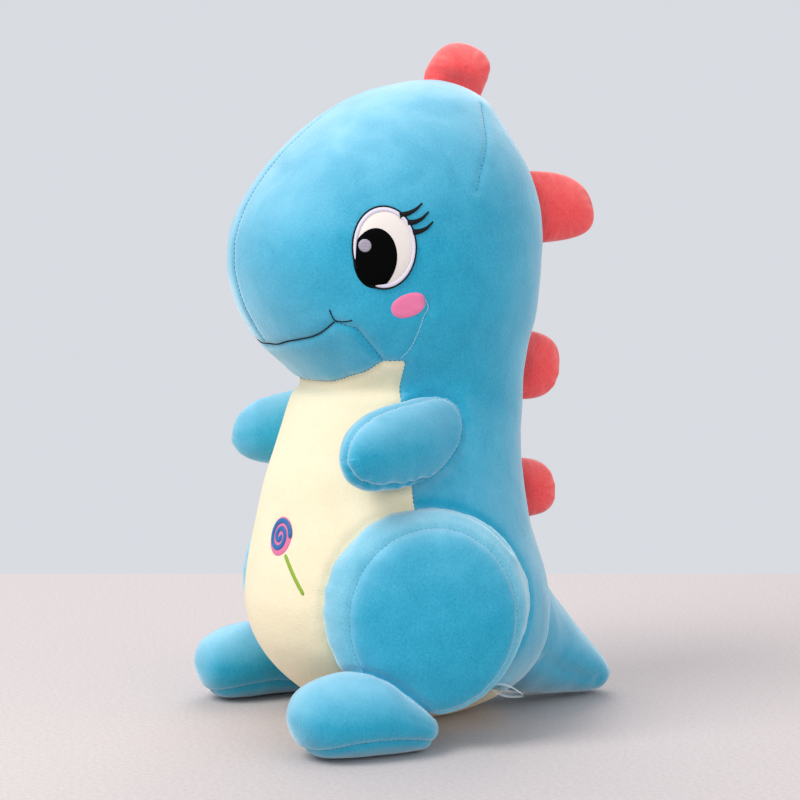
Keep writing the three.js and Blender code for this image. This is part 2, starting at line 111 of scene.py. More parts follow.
# ---- Materials -------------------------------------------------------------------------------
def linear(code: str) -> tuple[float, float, float, float]:
    """Turns an sRGB hex colour to linear.

    Args:
        code: the colour, as in "#4fb3d0".

    Returns:
        Linear red, green, blue and an alpha of 1.
    """
    parts = [int(code[i : i + 2], 16) / 255 for i in (1, 3, 5)]
    red, green, blue = (p / 12.92 if p <= 0.04045 else ((p + 0.055) / 1.055) ** 2.4 for p in parts)
    return red, green, blue, 1.0


def add_node(
    tree: bpy.types.NodeTree,
    kind: str,
    values: dict | None = None,
    links: dict | None = None,
    **settings: object,
) -> bpy.types.Node:
    """Adds one node to a tree.

    Args:
        tree: the node tree.
        kind: the node's type.
        values: input values by socket name or number.
        links: output sockets to link, by input socket name or number.
        **settings: the node's own properties.

    Returns:
        The node.
    """
    node = tree.nodes.new(kind)
    for key, value in settings.items():
        setattr(node, key, value)
    for key, value in (values or {}).items():
        node.inputs[key].default_value = value
    for key, socket in (links or {}).items():
        tree.links.new(socket, node.inputs[key])
    return node


def new_material(name: str) -> tuple[bpy.types.Material, bpy.types.NodeTree, bpy.types.Node]:
    """Starts a node material with an empty tree and an output.

    Args:
        name: the material's name.

    Returns:
        The material, its tree and its output node.
    """
    material = bpy.data.materials.new(name)
    material.use_nodes = True
    tree = material.node_tree
    tree.nodes.clear()
    return material, tree, tree.nodes.new("ShaderNodeOutputMaterial")


def colour_ends(ramp: bpy.types.Node, dark: str, light: str) -> None:
    """Colours a ramp's two ends.

    Args:
        ramp: the ramp node.
        dark: hex colour at the low end.
        light: hex colour at the high end.
    """
    low, high = ramp.color_ramp.elements
    low.position, high.position = RAMP_ENDS
    low.color, high.color = linear(dark), linear(light)


def texture_scale(size_mm: float) -> float:
    """Turns one blot's real size to a scale on coordinates in metres."""
    return 1 / (size_mm * MM)


@dataclass(frozen=True)
class Velboa:
    """Velboa: knitted polyester plush with a cut pile of 2 mm. The pile is sheared short, so it
    reads as suede: no gloss, a pale bloom at grazing angles and broad lighter and darker patches
    where hands have brushed it."""

    name: str
    slot: Slot
    brushed: str
    standing: str
    # crest: the painted highlight's colour, mixed in on the toy's top and away from its sides
    crest: str
    bloom: str
    sheen: float = 0.5
    patch_mm: float = 34.0
    streak_mm: float = 7.0
    # Tufts are 0.3 mm apart, too fine to show, so they are drawn four times as coarse.
    tuft_mm: float = 1.3
    # Painted highlight: how much paler the colour is painted away from the toy's sides and on top
    # of it.
    painted_light_off_side: float = 0.28
    painted_light_on_top: float = 0.44
    # How much of the tone each pattern gives.
    streak_share: float = 0.14
    tuft_share: float = 0.52
    patch_share: float = 0.34

    def build(self) -> bpy.types.Material:
        """Makes the material."""
        material, tree, output = new_material(self.name)
        where = add_node(tree, "ShaderNodeTexCoord")
        place = where.outputs["Object"]
        lay = add_node(tree, "ShaderNodeMapping", {"Scale": (1.0, 1.0, 0.55)}, {"Vector": place})
        patches, streaks, tufts = (
            add_node(
                tree,
                "ShaderNodeTexNoise",
                {"Scale": texture_scale(size), "Detail": detail, "Distortion": distortion},
                {"Vector": at},
            ).outputs[0]
            for at, size, detail, distortion in (
                (place, self.patch_mm, 3.0, 0.8),
                (lay.outputs["Vector"], self.streak_mm, 3.0, 0.3),
                (place, self.tuft_mm, 2.0, 0.0),
            )
        )
        links: dict[int, bpy.types.NodeSocket] = {}
        for pattern, share in (
            (streaks, self.streak_share),
            (tufts, self.tuft_share),
            (patches, self.patch_share),
        ):
            links[0] = pattern
            tone = add_node(
                tree, "ShaderNodeMath", {1: share, 2: 0.0}, links, operation="MULTIPLY_ADD"
            )
            links[2] = tone.outputs[0]
        ramp = add_node(tree, "ShaderNodeValToRGB", links={0: tone.outputs[0]})
        colour_ends(ramp, self.brushed, self.standing)
        # Painted highlight: the surface's facing pales the colour on the toy's top and away from
        # its sides, unevenly by the patches. It stands in for light from above and sheen at grazing
        # angles.
        facing = add_node(tree, "ShaderNodeSeparateXYZ", links={0: where.outputs["Normal"]})
        aside = add_node(
            tree, "ShaderNodeMath", links={0: facing.outputs["X"]}, operation="ABSOLUTE"
        )
        off_side = add_node(
            tree,
            "ShaderNodeMath",
            {1: -self.painted_light_off_side, 2: self.painted_light_off_side},
            {0: aside.outputs[0]},
            operation="MULTIPLY_ADD",
        )
        above = add_node(
            tree, "ShaderNodeMath", {1: 0.0}, {0: facing.outputs["Z"]}, operation="MAXIMUM"
        )
        painted_light_level = add_node(
            tree,
            "ShaderNodeMath",
            {1: self.painted_light_on_top},
            {0: above.outputs[0], 2: off_side.outputs[0]},
            operation="MULTIPLY_ADD",
        )
        uneven = add_node(
            tree, "ShaderNodeMath", {1: 1.2, 2: 0.4}, {0: patches}, operation="MULTIPLY_ADD"
        )
        painted_light_share = add_node(
            tree,
            "ShaderNodeMath",
            links={0: painted_light_level.outputs[0], 1: uneven.outputs[0]},
            operation="MULTIPLY",
            use_clamp=True,
        )
        tone_and_painted_light = add_node(
            tree,
            "ShaderNodeMix",
            {7: linear(self.crest)},
            {0: painted_light_share.outputs[0], 6: ramp.outputs["Color"]},
            data_type="RGBA",
        )
        nap = add_node(
            tree,
            "ShaderNodeBump",
            {"Strength": 0.35, "Distance": 0.8 * MM},
            {"Height": streaks},
        )
        pile = add_node(
            tree,
            "ShaderNodeBump",
            {"Strength": 0.75, "Distance": 0.4 * MM},
            {"Height": tufts, "Normal": nap.outputs["Normal"]},
        )
        shader = add_node(
            tree,
            "ShaderNodeBsdfPrincipled",
            {
                "Roughness": 0.92,
                "IOR": 1.46,
                "Specular IOR Level": 0.2,
                "Sheen Weight": self.sheen,
                "Sheen Roughness": 0.45,
                "Sheen Tint": linear(self.bloom),
            },
            {"Base Color": tone_and_painted_light.outputs[2], "Normal": pile.outputs["Normal"]},
        )
        tree.links.new(shader.outputs["BSDF"], output.inputs["Surface"])
        return material


@dataclass(frozen=True)
class SatinStitch:
    """Satin stitch: rayon thread laid side by side across a shape, which gives fine ridges and a
    soft gloss along them. The thread is 0.4 mm, drawn twice as coarse so that it shows."""

    name: str
    slot: Slot
    shade: str
    light: str
    roughness: float = 0.5
    lean: float = 0.0
    thread_mm: float = 0.9
    bloom: float = 0.15
    gloss: float = 0.5

    def build(self) -> bpy.types.Material:
        """Makes the material. It reads the piece's own UV map, laid out in decimetres."""
        material, tree, output = new_material(self.name)
        laid = add_node(tree, "ShaderNodeUVMap", uv_map=CLOTH_UV).outputs["UV"]
        turned = add_node(
            tree, "ShaderNodeMapping", {"Rotation": (0.0, 0.0, self.lean)}, {"Vector": laid}
        )
        rows = add_node(
            tree,
            "ShaderNodeTexWave",
            {
                "Scale": TURN / 20 / (self.thread_mm * UV_PER_MM),
                "Distortion": 0.6,
                "Detail": 2.0,
                "Detail Scale": 1.4,
            },
            {"Vector": turned.outputs["Vector"]},
            bands_direction="Y",
        )
        ramp = add_node(tree, "ShaderNodeValToRGB", links={0: rows.outputs["Fac"]})
        colour_ends(ramp, self.shade, self.light)
        ridges = add_node(
            tree,
            "ShaderNodeBump",
            {"Strength": 0.3, "Distance": 0.2 * MM},
            {"Height": rows.outputs["Fac"]},
        )
        shader = add_node(
            tree,
            "ShaderNodeBsdfPrincipled",
            {
                "Roughness": self.roughness,
                "IOR": 1.5,
                "Specular IOR Level": self.gloss,
                "Sheen Weight": self.bloom,
            },
            {"Base Color": ramp.outputs["Color"], "Normal": ridges.outputs["Normal"]},
        )
        tree.links.new(shader.outputs["BSDF"], output.inputs["Surface"])
        return material


@dataclass(frozen=True)
class SpunThread:
    """Spun polyester thread: two plies twisted, matt, with short fibres standing off it."""

    name: str
    slot: Slot
    shade: str
    light: str
    roughness: float = 0.7
    bloom: float = 0.2
    fibre_mm: float = 0.5

    def build(self) -> bpy.types.Material:
        """Makes the material."""
        material, tree, output = new_material(self.name)
        place = add_node(tree, "ShaderNodeTexCoord").outputs["Object"]
        fibres = add_node(
            tree,
            "ShaderNodeTexNoise",
            {"Scale": texture_scale(self.fibre_mm), "Detail": 2.0, "Distortion": 0.4},
            {"Vector": place},
        ).outputs[0]
        ramp = add_node(tree, "ShaderNodeValToRGB", links={0: fibres})
        colour_ends(ramp, self.shade, self.light)
        fuzz = add_node(
            tree, "ShaderNodeBump", {"Strength": 0.4, "Distance": 0.2 * MM}, {"Height": fibres}
        )
        shader = add_node(
            tree,
            "ShaderNodeBsdfPrincipled",
            {
                "Roughness": self.roughness,
                "IOR": 1.5,
                "Specular IOR Level": 0.25,
                "Sheen Weight": self.bloom,
            },
            {"Base Color": ramp.outputs["Color"], "Normal": fuzz.outputs["Normal"]},
        )
        tree.links.new(shader.outputs["BSDF"], output.inputs["Surface"])
        return material


TEAL = Velboa(
    "teal velboa plush", Slot.TEAL, "#008fb2", "#30afd0", "#a3d2e4", "#e4f5fb", sheen=1.0
)
# The thigh band's copy of the teal plush, painted paler: a painted sheen where the band's nap
# catches the light.
TEAL_WITH_PAINTED_SHEEN = Velboa(
    "paler teal velboa plush", Slot.PALE, "#3ba6c3", "#77c0d7", "#b6dcea", "#eaf7fb", sheen=0.9
)
CREAM = Velboa(
    "cream velboa plush", Slot.CREAM, "#e7d9b5", "#f1e5c6", "#f3e8cb", "#fff6e4", sheen=0.3
)
CORAL = Velboa(
    "coral velboa plush", Slot.CORAL, "#f23c41", "#fd6665", "#ff948d", "#ffd2cc", sheen=0.9
)
IVORY_SATIN = SatinStitch("ivory satin stitch", Slot.IVORY, "#e6dad2", "#efe5de", thread_mm=0.6)
RIM_SATIN = SatinStitch(
    "lilac-white satin stitch", Slot.IVORY, "#d3ccdd", "#e6e0ed", lean=0.6, thread_mm=0.6
)
BLACK_SATIN = SatinStitch(
    "black satin stitch", Slot.BLACK, "#000000", "#020203", roughness=0.8, bloom=0.0, gloss=0.06
)
LILAC_SATIN = SatinStitch("lilac satin stitch", Slot.LILAC, "#8b8090", "#b0a7b8")
PINK_SATIN = SatinStitch("pink satin stitch", Slot.PINK, "#e96d9c", "#f47fab", lean=0.35)
CANDY_PINK = SatinStitch("candy pink satin stitch", Slot.PINK, "#d9648f", "#ea7ca6", lean=0.8)
CANDY_BLUE = SatinStitch("candy blue satin stitch", Slot.CANDY, "#07589a", "#1269ae", lean=0.8)
GREEN_SATIN = SatinStitch("green satin stitch", Slot.GREEN, "#789a08", "#93b410", lean=1.1)
BLACK_THREAD = SpunThread("black spun thread", Slot.BLACK, "#010101", "#060607", bloom=0.0)
TEAL_THREAD = SpunThread("teal spun thread", Slot.TEAL, "#126f8c", "#1f86a4")
CREAM_THREAD = SpunThread("cream spun thread", Slot.CREAM, "#e0d0aa", "#efe2c2")
CORAL_THREAD = SpunThread("coral spun thread", Slot.CORAL, "#c93a44", "#dc4b52")
# Pale stitches on the jaw dart and on the jaw tuck; on the tuck they are a painted highlight along
# the crease.
PALE_STITCH_AND_HIGHLIGHT = SpunThread("pale teal spun thread", Slot.PALE, "#8ac8db", "#b4deea")
LABEL_RIBBON = SatinStitch("white satin ribbon", Slot.LABEL, "#e6e5e6", "#f8f7f7", thread_mm=0.5)

Finish = Velboa | SatinStitch | SpunThread


# ---- Working in the pattern's millimetres ----------------------------------------------------
@dataclass
class Bench:
    """Carries the pattern's millimetres into the frame's metres, and keeps what is made."""

    shift: np.ndarray
    materials: dict[str, bpy.types.Material] = field(default_factory=dict)

    @classmethod
    def from_joint(cls, joints: Sequence[dict], name: str, pattern: Sequence[float]) -> Bench:
        """Finds the shift between pattern and frame from one joint.

        Args:
            joints: the frame's joints.
            name: the joint to go by.
            pattern: where that joint is in the pattern, in mm.

        Returns:
            A bench.
        """
        joint = next(j for j in joints if j["name"] == name)
        return cls(np.array(joint["pos_m"], float) / MM - np.array(pattern, float))

    def metres(self, points: np.ndarray) -> np.ndarray:
        """Turns pattern points to frame points."""
        return (np.asarray(points, float) + self.shift) * MM

    def spot(self, point: Sequence[float]) -> tuple[float, float, float]:
        """Turns one pattern point to a frame point."""
        x, y, z = self.metres(np.array(point, float))
        return float(x), float(y), float(z)

    def dress(self, piece: bpy.types.Object, finish: Finish) -> bpy.types.Object:
        """Gives a piece its finish.

        Args:
            piece: the piece.
            finish: the finish.

        Returns:
            The piece.
        """
        if finish.name not in self.materials:
            self.materials[finish.name] = finish.build()
        piece.data.materials.append(self.materials[finish.name])
        corners = len(piece.data.loops)
        LOG.info("%s: %s, %d corners", piece.name, finish.name, corners)
        return piece


def object_from(bm: bmesh.types.BMesh, name: str) -> bpy.types.Object:
    """Makes an object from a bmesh and frees the bmesh.

    Args:
        bm: the mesh, in metres.
        name: the object's name.

    Returns:
        The object, in the scene.
    """
    for face in bm.faces:
        face.smooth = True
    mesh = bpy.data.meshes.new(name)
    bm.to_mesh(mesh)
    bm.free()
    piece = bpy.data.objects.new(name, mesh)
    bpy.context.scene.collection.objects.link(piece)
    return piece


def lay_grid(
    name: str,
    points: np.ndarray,
    normals: np.ndarray,
    keep: np.ndarray | None = None,
    uv: np.ndarray | None = None,
) -> bpy.types.Object:
    """Lays a grid of cloth on a net of points.

    Args:
        name: the object's name.
        points: (rows + 1, columns + 1, 3), in metres.
        normals: the way out at each point.
        keep: (rows, columns), which faces to keep.
        uv: (rows + 1, columns + 1, 2), where the thread runs.

    Returns:
        The object.
    """
    rows, columns = points.shape[0] - 1, points.shape[1] - 1
    bm = bmesh.new()
    layer = bm.loops.layers.uv.new(CLOTH_UV) if uv is not None else None
    bmesh.ops.create_grid(bm, x_segments=columns, y_segments=rows, size=0.5)
    for vertex, place in zip(bm.verts, points.reshape(-1, 3)):
        vertex.co = place
    if layer is not None:
        flat = uv.reshape(-1, 2)
        for face in bm.faces:
            for loop in face.loops:
                loop[layer].uv = flat[loop.vert.index]
    out = normals.reshape(-1, 3)
    bm.normal_update()
    vote = sum(
        face.normal.dot(Vector(out[face.verts[0].index])) * face.calc_area() for face in bm.faces
    )
    if keep is not None:
        spare = [face for face, kept in zip(bm.faces, keep.reshape(-1)) if not kept]
        bmesh.ops.delete(bm, geom=spare, context="FACES")
    bmesh.ops.remove_doubles(bm, verts=bm.verts, dist=2e-6)
    bmesh.ops.dissolve_degenerate(bm, dist=2e-6, edges=bm.edges)
    if vote < 0:
        bmesh.ops.reverse_faces(bm, faces=bm.faces[:])
    return object_from(bm, name)


def catmull_rom(rows: np.ndarray, place: np.ndarray) -> np.ndarray:
    """Runs a smooth line through rows of numbers.

    Args:
        rows: the rows; the first and last only steer.
        place: where, counted in rows.

    Returns:
        The numbers there, with the shape of place and one more axis.
    """
    first = np.clip(np.floor(place).astype(int), 1, len(rows) - 3)
    t = (place - first)[..., None]
    a, b, c, d = (rows[first + k] for k in (-1, 0, 1, 2))
    return b + 0.5 * t * (c - a + t * (2 * a - 5 * b + 4 * c - d + t * (3 * (b - c) + d - a)))


def unit(vectors: np.ndarray) -> np.ndarray:
    """Scales vectors to length 1."""
    return vectors / np.maximum(np.linalg.norm(vectors, axis=-1, keepdims=True), 1e-9)


def resampled(line: np.ndarray, step: float, smooth: bool = False) -> np.ndarray:
    """Places points evenly along a line.

    Args:
        line: (n, k) points.
        step: the distance between points.
        smooth: rounds the line's corners first.

    Returns:
        The points.
    """
    if smooth:
        padded = np.vstack([2 * line[0] - line[1], line, 2 * line[-1] - line[-2]])
        line = catmull_rom(padded, np.linspace(1, len(line), 24 * len(line)))
    length = np.concatenate([[0], np.cumsum(np.linalg.norm(np.diff(line, axis=0), axis=1))])
    count = max(int(round(length[-1] / step)), 1)
    at = np.linspace(0, length[-1], count + 1)
    return np.stack([np.interp(at, length, column) for column in line.T], axis=1)


def point_tree(points: np.ndarray) -> kdtree.KDTree:
    """Makes a search tree of points.

    Args:
        points: (n, 3) points.

    Returns:
        The tree, which numbers the points as they come.
    """
    tree = kdtree.KDTree(len(points))
    for i, point in enumerate(points):
        tree.insert(point, i)
    tree.balance()
    return tree


def faces_around(faces: np.ndarray) -> list[np.ndarray]:
    """Gives what each of the four faces around a point holds, on a net closed round its columns.

    Args:
        faces: one value for each face.

    Returns:
        Four arrays of one value for each point.
    """
    rows, columns = faces.shape
    wrapped = np.concatenate([faces[:, -1:], faces, faces[:, :1]], axis=1)
    stacked = np.concatenate([wrapped[:1], wrapped, wrapped[-1:]])
    return [stacked[i : i + rows + 1, j : j + columns + 1] for i in (0, 1) for j in (0, 1)]


@dataclass(frozen=True)
class Stitch:
    """How a line is stitched, in mm: the pitch, one stitch's length and width, and how deep it
    lies."""

    pitch: float = 3.0
    length: float = 2.3
    width: float = 0.6
    sunk: float = 0.1


PANEL_STITCH = Stitch()
JAW_STITCH = Stitch(pitch=1.9, length=2.4, width=0.8)
MOUTH_STITCH = Stitch(pitch=2.3, length=2.8, width=1.05, sunk=0.0)
SPIKE_STITCH = Stitch(sunk=0.5)


@dataclass(frozen=True)
class SeamStyle:
    """How a seam pulls the plush in and gathers it, in mm."""

    depth: float = 1.5
    width: float = 2.4
    gather: float = 0.5
    reach: float = 7.0
    spacing: float = 6.5
    roll: float = 0.35


@dataclass(frozen=True)
class Filling:
    """How the filling lifts a skin, in mm: two sizes of lump, how much the small ones count, and
    the height over which the lumps fade in above a calm floor."""

    broad: float = 36
    small: float = 13
    small_share: float = 0.4
    fade: float = 10


FILLING = Filling()
# A seam pulls no further than this, and its roll lies this many widths away.
SEAM_REACH = 40
ROLL_AT = 2.4


@dataclass
class Seam:
    """A line of sewing on a skin: its points in mm, its style, and its thread if it shows."""

    points: np.ndarray
    style: SeamStyle = SeamStyle()
    thread: Finish | None = TEAL_THREAD


class Loft:
    """A closed skin through sections, each a middle and two half axes, with a pole at each end."""

    def __init__(self, sections: Sequence[Sequence[Sequence[float]]]) -> None:
        """Takes the sections.

        Args:
            sections: (middle, first half axis, second half axis) in mm, poles with no axes first
                and last.
        """
        rows = np.array(sections, float).reshape(len(sections), 9)
        turned = np.array([1, 1, 1] + [-1] * 6)
        self.rows = np.vstack([rows[1] * turned, rows, rows[-2] * turned])
        self.ends = (1.0, float(len(rows)))

    @classmethod
    def lying(cls, rows: Iterable[Sequence[float]]) -> Loft:
        """Lofts from front to back.

        Args:
            rows: y, middle x, half width, bottom and top of each section.

        Returns:
            The loft.
        """
        return cls(
            [
                [(x, y, (low + high) / 2), (half, 0, 0), (0, 0, (high - low) / 2)]
                for y, x, half, low, high in rows
            ]
        )

    def point(self, place: np.ndarray, angle: np.ndarray) -> np.ndarray:
        """Gives the skin's points.

        Args:
            place: where along the loft, counted in sections from 1.
            angle: where around it, from the first half axis to the second.

        Returns:
            The points, in mm.
        """
        row = catmull_rom(self.rows, place)
        cos, sin = np.cos(angle)[..., None], np.sin(angle)[..., None]
        return row[..., 0:3] + row[..., 3:6] * cos + row[..., 6:9] * sin

    def even_places(self, step: float, keys: Sequence[float] = ()) -> np.ndarray:
        """Spreads rows evenly along the skin.

        Args:
            step: the distance between rows, in mm.
            keys: places that get a row of their own.

        Returns:
            The places.
        """
        fine = np.linspace(*self.ends, 60 * len(self.rows))
        around = np.linspace(0, TURN, 12, endpoint=False)
        net = self.point(fine[:, None] + 0 * around, around + 0 * fine[:, None])
        walk = np.linalg.norm(np.diff(net, axis=0), axis=2).mean(axis=1)
        length = np.concatenate([[0], np.cumsum(walk)])
        stops = np.interp(sorted({self.ends[0], *keys, self.ends[1]}), fine, length)
        spread = [
            np.linspace(low, high, max(int(math.ceil((high - low) / step)), 1) + 1)[:-1]
            for low, high in zip(stops[:-1], stops[1:])
        ]
        return np.interp(np.concatenate([*spread, stops[-1:]]), length, fine)


class Skin:
    """A loft's skin as an even net, settled over its filling and pulled in at its seams."""

    def __init__(self, loft: Loft, places: np.ndarray, columns: int) -> None:
        """Spreads the net.

        Args:
            loft: the shape.
            places: the rows' places.
            columns: how many columns go round.
        """
        self.loft = loft
        self.places = places
        self.angles = np.linspace(0, TURN, columns + 1)
        self.points = loft.point(
            places[:, None] + 0 * self.angles, self.angles + 0 * places[:, None]
        )
        self.normals = self.find_normals()

    def find_normals(self) -> np.ndarray:
        """Gives the way out at each point of the net."""
        ring = self.points[:, :-1]
        across = np.roll(ring, -1, axis=1) - np.roll(ring, 1, axis=1)
        across = np.concatenate([across, across[:, :1]], axis=1)
        normals = unit(np.cross(across, np.gradient(self.points, axis=0)))
        middle = ring.mean(axis=1, keepdims=True)
        if (normals * (self.points - middle)).sum() < 0:
            normals = -normals
        normals[0] = unit(normals[1, :-1].mean(axis=0))
        normals[-1] = unit(normals[-2, :-1].mean(axis=0))
        return normals

    def settle(
        self, seams: Sequence[Seam], wave: float = 0.55, seed: float = 0.0, calm: float = 0.0
    ) -> None:
        """Pulls the skin in at its seams and lets the filling show through it softly.

        Args:
            seams: the sewn lines.
            wave: how far the filling's lumps lift it, in mm.
            seed: moves the lumps about.
            calm: keeps lumps out below this height, in mm.
        """
        tree, styles = seam_tree(seams)
        flat = self.points.reshape(-1, 3)
        lift = np.empty(len(flat))
        offset = Vector((seed, -seed, 2 * seed))
        for i, place in enumerate(flat):
            spot = Vector(place)
            small = FILLING.small_share * noise.noise(spot / FILLING.small - offset)
            lumps = noise.noise(spot / FILLING.broad + offset) + small
            value = wave * lumps * min(max((place[2] - calm) / FILLING.fade, 0.0), 1.0)
            near, index, gap = tree.find(spot)
            if index is not None and gap < SEAM_REACH:
                style = styles[index]
                past = (gap - ROLL_AT * style.width) / style.reach
                value -= style.depth * math.exp(-((gap / style.width) ** 2))
                value += style.roll * math.exp(-(past**2))
                fold = noise.noise(near / style.spacing + offset)
                value += style.gather * fold * math.exp(-((gap / style.reach) ** 2))
            lift[i] = value
        self.points = self.points + self.normals * lift.reshape(self.points.shape[:2])[..., None]
        self.points[:, -1] = self.points[:, 0]

    def rest_on_floor(self, soft: float = 1.5, sink: float = 0.02) -> None:
        """Flattens what would go below the floor.

        Args:
            soft: how softly it turns onto the floor, in mm.
            sink: how far the pile sinks, as a part of that.
        """
        height = self.points[..., 2]
        self.points[..., 2] = 0.5 * (height + np.sqrt(height**2 + soft**2)) - sink * soft

    def centres(self) -> np.ndarray:
        """Gives each face's middle."""
        p = self.points
        return (p[:-1, :-1] + p[1:, :-1] + p[:-1, 1:] + p[1:, 1:]) / 4

    def sample(self, place: np.ndarray, angle: np.ndarray) -> tuple[np.ndarray, np.ndarray]:
        """Reads the settled skin between the net's points.

        Args:
            place: where along the loft.
            angle: where around it.

        Returns:
            Points and the ways out there.
        """
        row = np.interp(place, self.places, np.arange(len(self.places)))
        column = (np.asarray(angle) % TURN) / TURN * (len(self.angles) - 1)
        i = np.clip(row.astype(int), 0, len(self.places) - 2)
        j = np.clip(column.astype(int), 0, len(self.angles) - 2)
        s, t = (row - i)[..., None], (column - j)[..., None]

        def between(net: np.ndarray) -> np.ndarray:
            """Reads one net between its points."""
            low = net[i, j] * (1 - t) + net[i, j + 1] * t
            high = net[i + 1, j] * (1 - t) + net[i + 1, j + 1] * t
            return low * (1 - s) + high * s

        return between(self.points), unit(between(self.normals))

    def follow(self, line: np.ndarray, side: Side = Side.LEFT) -> tuple[np.ndarray, np.ndarray]:
        """Puts a line from the unsettled skin on the settled one.

        Args:
            line: the line's points.
            side: which side it is made for.

        Returns:
            Points and ways out.
        """
        flat, ways = self.points.reshape(-1, 3), self.normals.reshape(-1, 3)
        tree = point_tree(flat)
        near = [[i for _, i, _ in tree.find_n(point, 4)] for point in line]
        normals = unit(ways[near].mean(axis=1))
        level = ((flat[near].mean(axis=1) - line) * normals).sum(axis=1, keepdims=True)
        return (line + normals * level) * side.flip, normals * side.flip

    def column(self, number: int, side: Side = Side.LEFT) -> tuple[np.ndarray, np.ndarray]:
        """Gives one column's points and ways out, for a side."""
        return self.points[:, number] * side.flip, self.normals[:, number] * side.flip

    def panel(
        self, bench: Bench, name: str, keep: np.ndarray, finish: Finish, side: Side = Side.LEFT
    ) -> bpy.types.Object:
        """Cuts one panel out of the skin.

        Args:
            bench: the bench.
            name: the panel's name.
            keep: which faces belong to it.
            finish: its finish.
            side: which side it is made for.

        Returns:
            The panel.
        """
        net, ways = self.points * side.flip, self.normals * side.flip
        return bench.dress(lay_grid(name, bench.metres(net), ways, keep), finish)


def seam_tree(seams: Iterable[Seam]) -> tuple[kdtree.KDTree, list[SeamStyle]]:
    """Makes a search tree of all the points on some seams.

    Args:
        seams: the seams.

    Returns:
        The tree, and each point's style.
    """
    dense = [(resampled(seam.points, 1.0), seam.style) for seam in seams]
    styles = [style for points, style in dense for _ in points]
    return point_tree(np.vstack([points for points, _ in dense])), styles


def meeting_line(skin: Skin, other: Skin) -> np.ndarray:
    """Finds the closed line where one skin goes into another.

    Args:
        skin: the skin that goes in.
        other: the skin that it enters.

    Returns:
        The line's points, in mm.
    """
    flat, ways = other.points.reshape(-1, 3), other.normals.reshape(-1, 3)
    tree = point_tree(flat)
    net = skin.points
    near = [tree.find(point)[1] for point in net.reshape(-1, 3)]
    gap = ((net.reshape(-1, 3) - flat[near]) * ways[near]).sum(axis=1).reshape(net.shape[:2])
    crossings = []
    for step in ((1, 0), (0, 1)):
        rows, columns = gap.shape[0] - step[0], gap.shape[1] - step[1]
        first, second = gap[:rows, :columns], gap[step[0] :, step[1] :]
        at = np.nonzero((first > 0) != (second > 0))
        share = (first[at] / (first[at] - second[at]))[:, None]
        start, end = net[:rows, :columns][at], net[step[0] :, step[1] :][at]
        crossings.append(start + (end - start) * share)
    points = np.vstack(crossings)
    middle = points.mean(axis=0)
    _, _, axes = np.linalg.svd(points - middle, full_matrices=False)
    flat_on = (points - middle) @ axes[:2].T
    line = points[np.argsort(np.arctan2(flat_on[:, 1], flat_on[:, 0]))]
    line = np.vstack([line, line[:1]])
    even = resampled(line, 2.0)[:-1]
    for _ in range(6):
        even = (np.roll(even, 1, axis=0) + 2 * even + np.roll(even, -1, axis=0)) / 4
    return np.vstack([even, even[:1]])


def sew(
    bench: Bench,
    name: str,
    lines: Sequence[tuple[np.ndarray, np.ndarray]],
    finish: Finish,
    stitch: Stitch = PANEL_STITCH,
) -> bpy.types.Object:
    """Sews stitches along lines, as one piece.

    Args:
        bench: the bench.
        name: the piece's name.
        lines: points and ways out of each line, in mm.
        finish: the thread.
        stitch: how it is stitched.

    Returns:
        The piece.
    """
    bm = bmesh.new()
    for points, normals in lines:
        both = resampled(np.hstack([points, normals * 1e-3]), stitch.pitch)
        for start, end in zip(both[:-1], both[1:]):
            run = unit(end[:3] - start[:3])
            out = unit(start[3:] + end[3:])
            side = unit(np.cross(out, run))
            middle = (start[:3] + end[:3]) / 2 - out * stitch.sunk
            turn = Matrix((run, side, np.cross(run, side))).transposed().to_4x4()
            long, thick = stitch.length / 2 * MM, stitch.width / 2 * MM
            size = Matrix.Diagonal((long, thick, thick, 1))
            place = Matrix.Translation(bench.metres(middle)) @ turn @ size
            bmesh.ops.create_icosphere(bm, subdivisions=1, radius=1.0, matrix=place)
    bmesh.ops.recalc_face_normals(bm, faces=bm.faces)
    return bench.dress(object_from(bm, name), finish)


def thread_tube(
    bench: Bench,
    name: str,
    points: np.ndarray,
    normals: np.ndarray,
    radii: np.ndarray,
    finish: Finish,
    flat: float = 0.8,
    closed: bool = False,
    twist: float = 0.0,
) -> bpy.types.Object:
    """Lays one raised run of thread on a surface.

    Args:
        bench: the bench.
        name: the piece's name.
        points: its middle line, in mm.
        normals: the ways out along it.
        radii: its half width along it.
        finish: the thread.
        flat: its height as a part of its width.
        closed: whether its ends meet.
        twist: turns of the ply in each mm.

    Returns:
        The piece.
    """
    if closed:
        run = unit(np.roll(points, -1, axis=0) - np.roll(points, 1, axis=0))
    else:
        run = unit(np.gradient(points, axis=0))
    side = unit(np.cross(normals, run))
    out = np.cross(run, side)
    travel = np.concatenate([[0], np.cumsum(np.linalg.norm(np.diff(points, axis=0), axis=1))])
    angle = np.linspace(0, TURN, 11)
    ply = 1 + 0.14 * np.cos(2 * (angle[None] - TURN * twist * travel[:, None])) * (twist > 0)
    ring = (
        side[:, None] * (np.cos(angle) * ply)[..., None]
        + out[:, None] * (np.sin(angle) * ply * flat)[..., None]
    )
    net = points[:, None] + ring * radii[:, None, None]
    uv = np.stack([np.cos(angle)[None] * radii[:, None], travel[:, None] + 0 * angle], axis=-1)
    if closed:
        net = np.concatenate([net, net[:1]])
        ring = np.concatenate([ring, ring[:1]])
        uv = np.concatenate([uv, uv[:1]])
    else:
        net = np.concatenate([points[:1, None] + 0 * net[:1], net, points[-1:, None] + 0 * net[:1]])
        ring = np.concatenate([ring[:1], ring, ring[-1:]])
        uv = np.concatenate([uv[:1], uv, uv[-1:]])
    piece = lay_grid(name, bench.metres(net), ring, uv=uv * UV_PER_MM + 0.5)
    return bench.dress(piece, finish)


